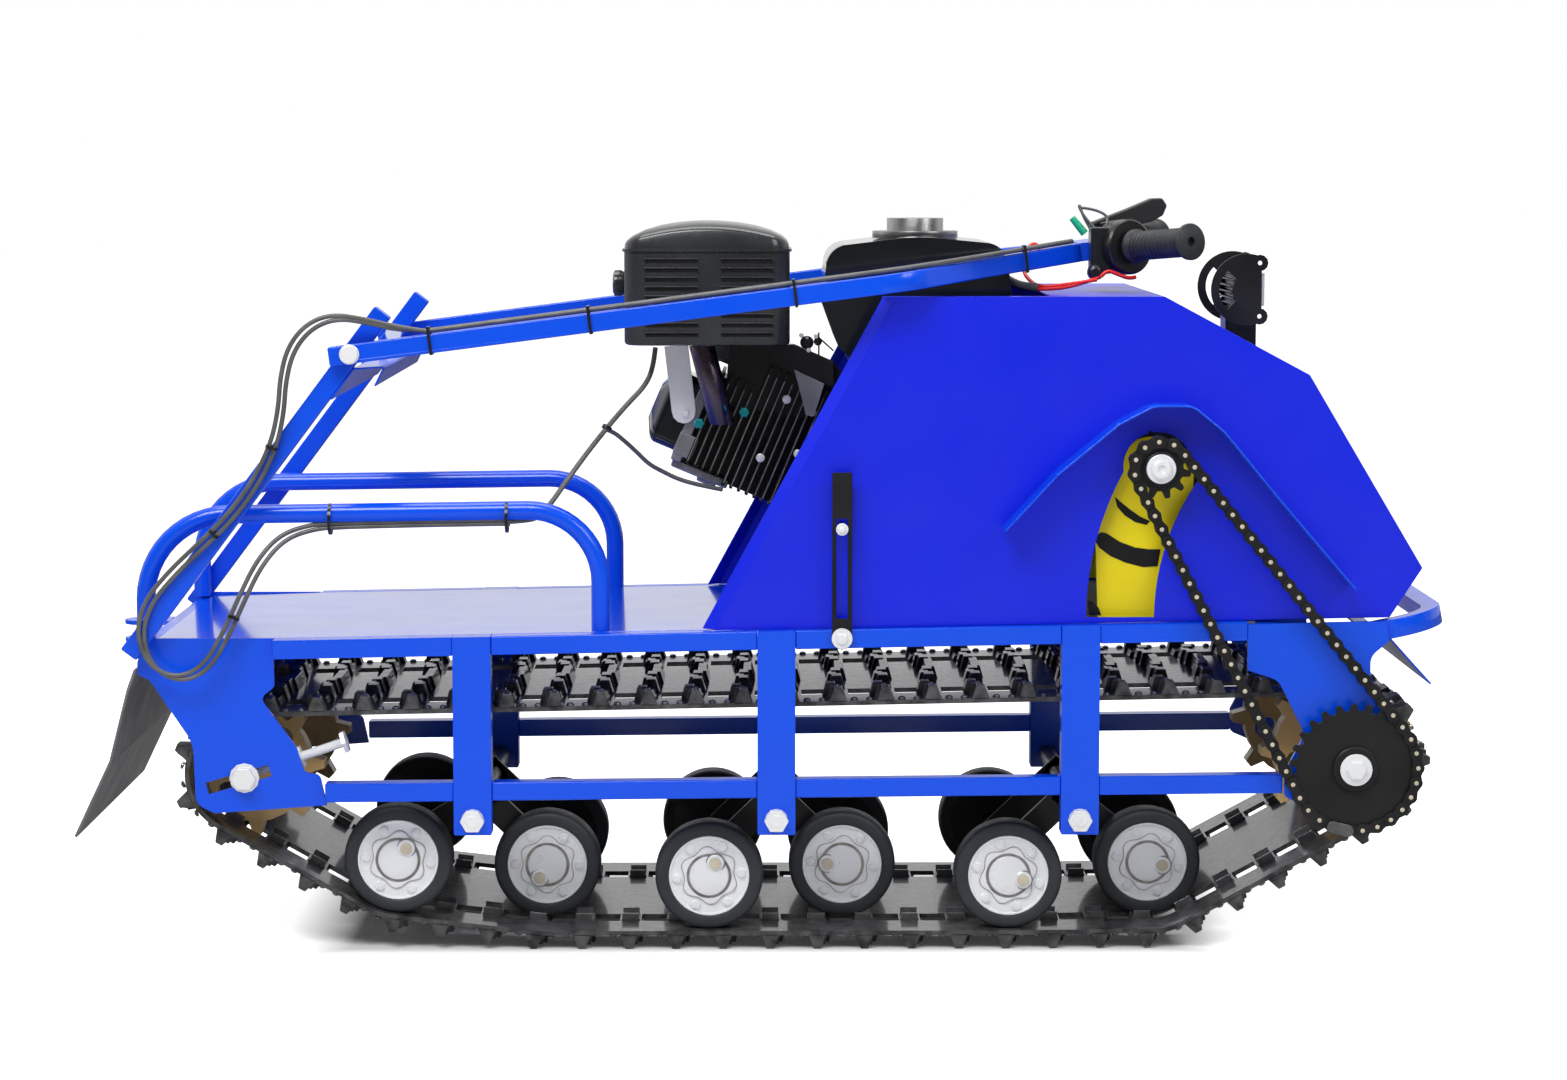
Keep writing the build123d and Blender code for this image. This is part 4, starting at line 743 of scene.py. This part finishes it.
def build_loops():
    """The luggage loops as smooth tubes."""
    piece = Piece("luggage_loop_tubes", "frame_blue", nodes=["luggage_loops"])
    low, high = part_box("luggage_loops")
    left, right = low.x * 1000 + loop_radius, high.x * 1000 - loop_radius
    foot, rise = low.z * 1000, loop_slope * (right - left)
    # Each bend's middle, radius, turn from and to, and the level of its top
    bends = ((left + 90, 90, 180, 90, loop_top), (right - 76, 76, 90, 0, loop_top + rise))
    for side in (-1, 1):
        row = side * loop_row
        line = [Vector((left, row, foot))]
        for x, radius, start, end, level in bends:
            for k in range(13):
                turn = math.radians(start + (end - start) * k / 12)
                up = level - radius + radius * math.sin(turn)
                line.append(Vector((x + radius * math.cos(turn), row, up)))
        line.append(Vector((right, row, foot + 4)))
        piece.tube(line, loop_radius, 24)
    piece.make(sharp=50)


grip_row = 167
inner_row = 52
grip_end = Vector((885.949, -grip_row, 0))
bar_inner = Vector((811.249, -inner_row, 0))
grip_ribs = 11
grip_run = 76


def build_grips():
    """Ribbed grips with an end flange and a hole."""
    piece = Piece("ribbed_grips", "grip_rubber", body="handle", nodes=["grips"])
    profile = [(-97, 11.4), (-97, 17), (-95, 18.5), (-92, 18.5), (-90, 16.5)]
    for i in range(grip_ribs):
        at = -88 + grip_run * i / grip_ribs
        profile += [(at, 14.6), (at + 1.6, 15.7), (at + 4.6, 15.7), (at + 6, 14.6)]
    profile += [(-11, 15.2), (-7, 17.5), (-4, 19.4), (-1.4, 19.6), (0, 18.4), (0, 5.2), (-6, 5)]
    for side in (-1, 1):
        end = Vector((grip_end.x, side * grip_row, 0))
        inner = Vector((bar_inner.x, side * inner_row, 0))
        run = (end - inner).normalized()
        piece.lathe(profile, handle_place @ facing(end + run * 5, run), 40)
    piece.make(sharp=50)


def build_throttle():
    """The near grip's round control case with a joint line, and its collar."""
    run = (grip_end - bar_inner).normalized()
    place = handle_place @ facing(grip_end - run * 97, run)
    case = Piece("throttle_control", "black_paint", body="handle", nodes=["throttle_case"])
    case.lathe([(-28, 25), (-28, 27), (-26.5, 29), (-16, 30), (-14.6, 29.2), (-13.4, 30), (-2, 30),
                (0, 28), (0, 20)], place, 48)
    case.lathe([(-44, 21), (-42, 24), (-28.4, 24)], place, 36)
    case.make(sharp=40)


# Points of each wire, and its radius
black_wires = [
    ([(364, -70, 766), (352, -66, 778), (345, -62, 791), (346, -62, 793), (350, -62, 780),
      (358, -66, 766)], 1.5),
    ([(346, -62, 790), (358, -62, 789), (372, -64, 784), (377, -66, 778), (374, -70, 768)], 1.5),
    ([(262, -96, 716), (272, -98, 710), (284, -100, 706), (298, -100, 705)], 4.5),
]
red_wires = [
    ([(286, -62, 734), (284, -70, 722), (290, -84, 712), (300, -98, 705), (330, -100, 708),
      (362, -100, 713)], 2.1),
    ([(294, -100, 703), (320, -100, 703), (345, -100, 709), (366, -98, 716)], 2.1),
    ([(366, -100, 716), (372, -100, 724), (384, -100, 719), (397, -100, 714), (404, -98, 716)],
     2.1),
    ([(289, -62, 741), (292, -62, 750), (300, -62, 751), (306, -62, 744)], 2.1),
]
lever_blade = [(0, -8), (30, -11), (95, -14), (111, -11), (120, -1), (114, 9), (98, 12), (60, 9),
               (0, 6)]
lever_root = (372, 75, 766)
lever_turn = 39.5
lever_drop = 12


def build_controls():
    """The far lever's broad blade, the near clamp block, and the small wires by the bar."""
    lever = Piece("brake_lever_blade", "black_plastic", body="handle", nodes=["brake_lever"])
    turn = Matrix.Rotation(math.radians(lever_turn), 4, "Z")
    drop = Matrix.Rotation(math.radians(-lever_drop), 4, "Y")
    lever.prism(lever_blade, -4.5, 4.5, Matrix.Translation(lever_root) @ turn @ drop)
    lever.make(sharp=25, bevel=2.5)
    block = Piece("throttle_clamp", "black_plastic", body="handle")
    block.box((367, -74, 744), (22, 30, 50))
    knob = [(-8, 5), (-6, 7.5), (0, 9), (6, 7.5), (8, 5)]
    block.lathe(knob, outward(360.7, -92, 721, -1), 24)
    block.make(sharp=30, bevel=3)
    for name, material, wires in (("control_wires_black", "cable_rubber", black_wires),
                                  ("control_wires_red", "wire_red", red_wires)):
        piece = Piece(name, material, body="handle")
        for line, radius in wires:
            piece.tube(smooth_line(line), radius, 8)
        piece.make(sharp=60)
    green = Piece("connector_sheath", "sheath_green", body="handle")
    green.lathe([(0, 3.6), (22, 4.4)], facing(Vector((338, -60, 779)), (14, 0, -17)), 16)
    green.make(bevel=0.5)


cable_paths = {
    "hinge": [(-380, -245, 668), (-406, -250, 675), (-441, -257, 681), (-468, -258, 670),
              (-487, -256, 646), (-491.5, -252, 630)],
    "frame": [(-491.5, -252, 630), (-496, -248, 614), (-499, -242, 582), (-508, -237, 545),
              (-528, -236, 505), (-556, -236, 468), (-588, -236, 438), (-616, -236, 412),
              (-643, -236, 380), (-652, -236, 345), (-640, -236, 312), (-612, -236, 298),
              (-583, -235, 310), (-562, -231, 345), (-546, -225, 382), (-528, -214, 420),
              (-505, -203, 446), (-474, -195, 456), (-447, -194.5, 457.5), (-420, -194, 458.3),
              (-344, -194, 460), (-268, -194, 461.1)],
    "lead": [(-268, -194, 461.1), (-252, -190, 461.5), (-236, -184, 464), (-222, -172, 480),
             (-208, -158, 500), (-186, -142, 530), (-165, -128, 556), (-144, -112, 580),
             (-124, -98, 600), (-116, -92, 620), (-114, -90, 640)],
    "under engine": [(-166, -128, 554), (-158, -119, 550), (-149, -112, 542), (-136, -100, 529),
                     (-122, -85, 513), (-107, -75, 504), (-90, -70, 495), (-66, -66, 488),
                     (-42, -62, 483)],
}
# Along the handle's near tube and in to its neck, as X and Y from the hinge
handle_path = [(80, -handle_row), (150, -handle_row), (300, -handle_row), (450, -handle_row),
               (560, -241), (600, -226), (650, -190), (700, -138), (745, -90), (772, -66)]
strand_radius = 2.5
# Each strand's shift from the frame's path, and its rise and side shift on the handle
strands = (((-2.8, -0.8, 2.2), (13.4, -3)), ((2.8, 0.6, -2.2), (13.6, 3)))


def build_cables():
    """Two strands tied side by side, down the strut and along the loop, and on the handle."""
    piece = Piece("frame_cable_run", "cable_rubber", nodes=["frame_cables"])
    for shift, _ in strands:
        points = [Vector(point) + Vector(shift) for point in cable_paths["frame"]]
        piece.tube(smooth_line(points), strand_radius, 12)
    piece.tube(smooth_line(cable_paths["lead"]), 2.8, 12)
    piece.tube(smooth_line(cable_paths["under engine"]), 2.4, 12)
    piece.make(sharp=60)
    run = Piece("handle_cable_run", "cable_rubber", body="handle", nodes=["handle_cables"])
    for _, (rise, aside) in strands:
        points = [handle_place @ Vector((x, y + aside, rise)) for x, y in handle_path]
        run.tube(smooth_line(points), strand_radius, 12)
    run.make(sharp=60)
    bridge = Piece("hinge_cable_bridge", "cable_rubber", body=None)
    along, row = handle_path[0]
    for shift, (rise, aside) in strands:
        points = [handle_place @ Vector((along, row + aside, rise))]
        points += [Vector(point) + Vector(shift) for point in cable_paths["hinge"]]
        bridge.tube(smooth_line(points), strand_radius, 12)
    made = bridge.make(sharp=60)
    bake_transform(made)


# Each tie's place, the direction it goes round, and its inner radius
frame_ties = [
    ((-510, -238, 543), (0.35, 0, 1), 5.6), ((-572, -236, 453), (0.73, 0, 0.68), 5.6),
    ((-554, -228, 363.5), (0.4, 0.1, 0.92), 5.6), ((-455, -194, 464), (1, 0, 0), 15.5),
    ((-268.5, -194, 466), (1, 0, 0), 15.5), ((-165, -128, 556), (0.6, 0.3, 1), 4.2),
]
# Along the handle and across it
handle_ties = [(84, -handle_row), (251, -handle_row), (466, -handle_row), (716, -121)]


def build_ties():
    """Cable ties round the cables and what they hang on."""
    piece = Piece("frame_cable_ties", "black_plastic")
    for point, run, size in frame_ties:
        place = facing(Vector(point), run)
        ring = [(-1.6, size), (-1.6, size + 1.2), (1.6, size + 1.2), (1.6, size)]
        piece.lathe(ring, place, 20, closed=True)
        piece.box((size + 2, 0, 0), (5, 5, 4), place)
    piece.make()
    handle = Piece("handle_cable_ties", "black_plastic", body="handle")
    for along, row in handle_ties:
        for rise in (-11, 17):
            handle.box((along, row, rise), (3, 24, 1.4), handle_place)
        for aside in (-12, 12):
            handle.box((along, row + aside, 3), (3, 1.4, 29), handle_place)
    handle.make()


fin_thick = 3.4
fin_wide = 130
baffle = [(9, 628), (7, 642), (36, 642), (79, 623), (80, 596), (58, 602), (27, 616)]
baffle_back = [(-34, 644), (36, 642), (79, 623), (92, 606), (60, 560), (-40, 575)]
stay_outline = [(36, 615), (69, 599.5), (62, 577), (58, 565), (49, 565), (42, 593)]


def build_engine():
    """Fins with paler edges, a baffle, a stay, head castings, bolts and the exhaust's nuts."""
    fins = Piece("cylinder_fins", "black_paint", nodes=["cylinder", "cylinder_head"])
    fins.box((133, 6, -16), (64, 92, 138), engine_place)
    fins.box((196, 6, -4), (62, 92, 100), engine_place)
    edges = Piece("fin_edges", "fin_metal_and_gap_shade")
    # Place along the cylinder, and how far the fin reaches up and down
    table = [(104 + 9.2 * i, 86, 54) for i in range(8)]
    table += [(178 + 9 * i, 60, 47) for i in range(5)]
    for along, up, down in table:
        level = (down - up) / 2
        fins.box((along, 0, level), (fin_thick, fin_wide, up + down), engine_place)
        edges.box((along, -65.2, level + 3), (1.0, 0.7, up + down - 12), engine_place)
    fins.prism(baffle, -72, -60)
    fins.prism(baffle_back, -58, -50)
    fins.make(sharp=30, bevel=0.3)
    edges.make()
    stay = Piece("grey_stay", "cast_grey")
    stay.prism(stay_outline, -76, -72.5)
    stay.make(bevel=0.6)
    build_linkage()
    band = Piece("head_casting", "cast_grey")
    for centre, size in (((226, 0, -4), (12, 124, 108)), ((222, -50, 30), (22, 26, 26)),
                         ((196, 0, 53), (66, 108, 9)), ((186, 0, 58), (22, 104, 7))):
        band.box(centre, size, engine_place)
    band.make(bevel=2)
    bolts = Piece("engine_bolts", "zinc")
    for along, rise in ((140.5, -60), (142, 10), (110, -58), (106, -10)):
        place = engine_place @ outward(along, -66, rise, -1)
        bolts.lathe([(0, 5), (3, 4.6), (4, 2.6)], place, 18)
    low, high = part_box("muffler_strap")
    bolt(bolts, outward(high.x * 1000 - 11, low.y * 1000, low.z * 1000 + 11, -1), 9, 4)
    nuts = Piece("exhaust_nuts", "plated_nut")
    for x, z in ((-67, 558), (-18, 570)):
        bolt(nuts, outward(x, -92, z, -1), 12, 9)
    bolts.make()
    nuts.make(bevel=0.4)


linkage_row = -66
# Ends of each thin rod, as X and Z
linkage = (((63, 655), (63, 628)), ((38, 641), (71, 621)), ((49, 636), (80, 622)),
           ((60, 652), (79, 635)))


def build_linkage():
    """Thin rods, a knob and small screws behind the muffler, over the baffle."""
    rods = Piece("linkage_rods", "black_plastic")
    for (x0, z0), (x1, z1) in linkage:
        line = [Vector((x0, linkage_row, z0)), Vector((x1, linkage_row, z1))]
        rods.tube(line, 0.9, 8)
    rods.lathe([(-8, 7), (0, 7.4), (5, 6.4), (7, 4)], outward(50, linkage_row, 644, -1), 24)
    rods.lathe([(-8, 4.6), (4, 4.4), (5, 3)], outward(62, linkage_row, 645, -1), 20)
    rods.make(sharp=40)
    screws = Piece("linkage_screws", "zinc")
    for x, z in ((44, 652), (60, 651), (52, 636)):
        screws.lathe([(-6, 2.6), (3, 2.5), (4, 1.6)], outward(x, -70, z, -1), 14)
    screws.make()


muffler_left = -146
muffler_right = 31
muffler_near = -149.4
muffler_middle = -80
muffler_corner = 22
lid_middle = (muffler_left + muffler_right) / 2
lid_half = 90
lid_arch = 15.5
# Height, inset and how much of the lid's arch each ring of the shell follows
muffler_rings = [
    (644.5, 4, 0), (645.6, 1.2, 0), (648, 0, 0), (700, 0, 0), (744, 0, 0), (744.4, -2, 0),
    (747, -2, 0), (747.4, 0.4, 0), (751, 0.8, 1), (754, 2.6, 1), (757, 8, 1), (759.4, 20, 1),
    (760.6, 36, 1), (761, 52, 1),
]
louvre_rows = (734.4, 724.6, 714.6, 704.8, 695, 685.5, 676, 666, 656)
louvre_columns = ((-123, -67), (-42, 13))


def muffler_ring(inset):
    """Front half of a rounded oblong seen from above, left to right, as X and Y."""
    left, right, near = muffler_left + inset, muffler_right - inset, muffler_near + inset
    radius = max(muffler_corner - inset, 3)

    def corner(x, first):
        turns = [math.radians(first + 90 * k / 8) for k in range(9)]
        return [(x + radius * math.cos(turn), near + radius + radius * math.sin(turn))
                for turn in turns]

    run = right - left - 2 * radius
    straight = [(left + radius + run * k / 10, near) for k in range(1, 10)]
    return [(left, muffler_middle), *corner(left + radius, 180), *straight,
            *corner(right - radius, 270), (right, muffler_middle)]


def build_muffler():
    """The muffler's guard: straight sides, a rolled seam, an arched lid and louvres, whose openings
    are black boxes of painted shade.
    """
    shell = Piece("muffler_shell", "muffler_paint", nodes=["muffler"])
    points = []
    for level, inset, arch in muffler_rings:
        front = muffler_ring(inset)
        for x, y in front + [(x, 2 * muffler_middle - y) for x, y in reversed(front[1:-1])]:
            lift = arch * lid_arch * (1 - ((x - lid_middle) / lid_half) ** 2)
            points.append((x, y, level + lift))
    count = len(points) // len(muffler_rings)
    faces = [tuple(range(count - 1, -1, -1))]
    for ring in range(len(muffler_rings) - 1):
        low, high = ring * count, (ring + 1) * count
        for i in range(count):
            j = (i + 1) % count
            faces.append((low + i, low + j, high + j, high + i))
    # The lid's top is closed by strips across its narrow way
    last, half = (len(muffler_rings) - 1) * count, count // 2
    faces.append((last, last + 1, last + count - 1))
    faces += [(last + i, last + i + 1, last + count - i - 1, last + count - i)
              for i in range(1, half - 1)]
    faces.append((last + half - 1, last + half, last + half + 1))
    shell.shape(points, faces)
    outlet = facing(Vector((-147, muffler_middle, 709)), (-1, 0, 0))
    shell.lathe([(0, 12), (5, 14.5), (11, 14), (13, 10)], outlet, 28)
    # The louvres' openings are black boxes: painted shade inside the slots
    slots = Piece("muffler_louvre_painted_shade", "painted_slot_shade")
    lips = Piece("muffler_lips", "muffler_paint")
    for z in louvre_rows:
        for left, right in louvre_columns:
            centre = (left + right) / 2
            slots.box((centre, -149.5, z), (right - left, 0.8, 3.6))
            lips.box((centre, -150, z + 2.6), (right - left + 2, 2, 1.6))
            lips.box((right + 0.6, -150, z), (1.4, 2, 5))
    shell.make(sharp=40)
    slots.make()
    lips.make(bevel=0.4)


floor_reach = 30
# Socket, axis, and the distances from the middle, in metres, between which the glow comes up;
# inside them the glow is turned down as a painted shadow patch under the machine
painted_shade_edges = ((0, "X", 0.44, 0.52), (1, "Y", 0.186, 0.23))
painted_shade_glow, floor_glow = 0.03, 0.93
# The floor's tone, and its dark grey tone for glossy rays only, a painted dark reflection of the
# floor in glossy parts
floor_tone, floor_painted_reflection_tone = 0.9, 0.2
room_light = 0.2


def build_floor():
    """A white floor that glows for the camera, except under the machine, where the glow is turned
    down as a painted shadow patch; glossy rays see it dark grey, a painted dark reflection.
    """
    mesh = bpy.data.meshes.new("floor")
    far = floor_reach
    corners = [(-far, -far, 0), (far, -far, 0), (far, far, 0), (-far, far, 0)]
    mesh.from_pydata(corners, [], [(0, 1, 2, 3)])
    floor = bpy.data.objects.new("floor", mesh)
    bpy.context.scene.collection.objects.link(floor)
    nodes = Nodes("floor")
    nodes.set(Roughness=0.8, Emission_Color=(1, 1, 1, 1))
    path = nodes.add("ShaderNodeLightPath")
    clear = nodes.add("ShaderNodeMath", operation="MAXIMUM")
    split = nodes.add("ShaderNodeSeparateXYZ")
    nodes.join(nodes.add("ShaderNodeTexCoord"), "Object", split, "Vector")
    for socket, axis, low, high in painted_shade_edges:
        size = nodes.add("ShaderNodeMath", operation="ABSOLUTE")
        nodes.join(split, axis, size, 0)
        edge = nodes.add("ShaderNodeMapRange")
        edge.inputs["From Min"].default_value = low
        edge.inputs["From Max"].default_value = high
        nodes.join(size, "Value", edge, "Value")
        nodes.join(edge, "Result", clear, socket)
    seen = nodes.add("ShaderNodeMath", operation="MULTIPLY")
    nodes.join(path, "Is Camera Ray", seen, 0)
    nodes.join(clear, "Value", seen, 1)
    # The camera's glow, turned down under the machine as a painted shadow patch
    glow = nodes.add("ShaderNodeMapRange")
    glow.inputs["To Min"].default_value = painted_shade_glow
    glow.inputs["To Max"].default_value = floor_glow
    nodes.join(seen, "Value", glow, "Value")
    nodes.join(glow, "Result", nodes.shader, "Emission Strength")
    # Dark grey for glossy rays only: painted dark reflection
    tone = nodes.ramp(path, "Is Glossy Ray", 0.0, 1.0, grey(floor_tone), grey(floor_painted_reflection_tone))
    nodes.join(tone, "Color", nodes.shader, "Base Color")
    floor.data.materials.append(nodes.material)


def build_world():
    """A white backdrop for the camera, dim light, and a dark near side in reflections."""
    world = bpy.data.worlds.new("studio")
    bpy.context.scene.world = world
    world.use_nodes = True
    tree = world.node_tree
    plain = tree.nodes["Background"]
    seen = tree.nodes.new("ShaderNodeBackground")
    for backdrop, strength in ((plain, room_light), (seen, 1)):
        backdrop.inputs["Color"].default_value = (1, 1, 1, 1)
        backdrop.inputs["Strength"].default_value = strength
    mirrored = tree.nodes.new("ShaderNodeBackground")
    place = tree.nodes.new("ShaderNodeTexCoord")
    split = tree.nodes.new("ShaderNodeSeparateXYZ")
    span = tree.nodes.new("ShaderNodeMapRange")
    for name, value in (("From Min", -0.45), ("From Max", 0.3), ("To Min", 0.05), ("To Max", 1.0)):
        span.inputs[name].default_value = value
    path = tree.nodes.new("ShaderNodeLightPath")
    glossy = tree.nodes.new("ShaderNodeMixShader")
    mix = tree.nodes.new("ShaderNodeMixShader")
    for output, socket in (
            (place.outputs["Generated"], split.inputs[0]),
            (split.outputs["Y"], span.inputs["Value"]),
            (span.outputs["Result"], mirrored.inputs["Strength"]),
            (path.outputs["Is Glossy Ray"], glossy.inputs[0]),
            (plain.outputs[0], glossy.inputs[1]),
            (mirrored.outputs[0], glossy.inputs[2]),
            (path.outputs["Is Camera Ray"], mix.inputs[0]),
            (glossy.outputs[0], mix.inputs[1]),
            (seen.outputs[0], mix.inputs[2]),
            (mix.outputs[0], tree.nodes["World Output"].inputs["Surface"])):
        tree.links.new(output, socket)


def add_light(name, place, target, size, power):
    data = bpy.data.lights.new(name, "AREA")
    data.shape = "RECTANGLE"
    data.size, data.size_y = size
    data.energy = power
    light = bpy.data.objects.new(name, data)
    bpy.context.scene.collection.objects.link(light)
    light.location = place
    light.rotation_euler = (Vector(target) - Vector(place)).to_track_quat("-Z", "Y").to_euler()


bpy.context.scene.view_settings.view_transform = "Standard"
build_camera()
build_floor()
build_world()
add_light("key", (-1.2, -2.6, 3.4), (0, 0, 0.3), (2.6, 1.4), 105)
add_light("fill", (2.4, -2.8, 2.6), (0, 0, 0.4), (1.6, 1.6), 34)
add_light("top", (0, 0.2, 3.4), (0, 0, 0), (3, 1.4), 50)
dress_nodes()
build_belt()
build_lugs()
build_wheels()
build_chain()
build_stripes()
build_fasteners()
build_loops()
build_grips()
build_throttle()
build_controls()
build_bogies()
build_cables()
build_ties()
build_engine()
build_muffler()
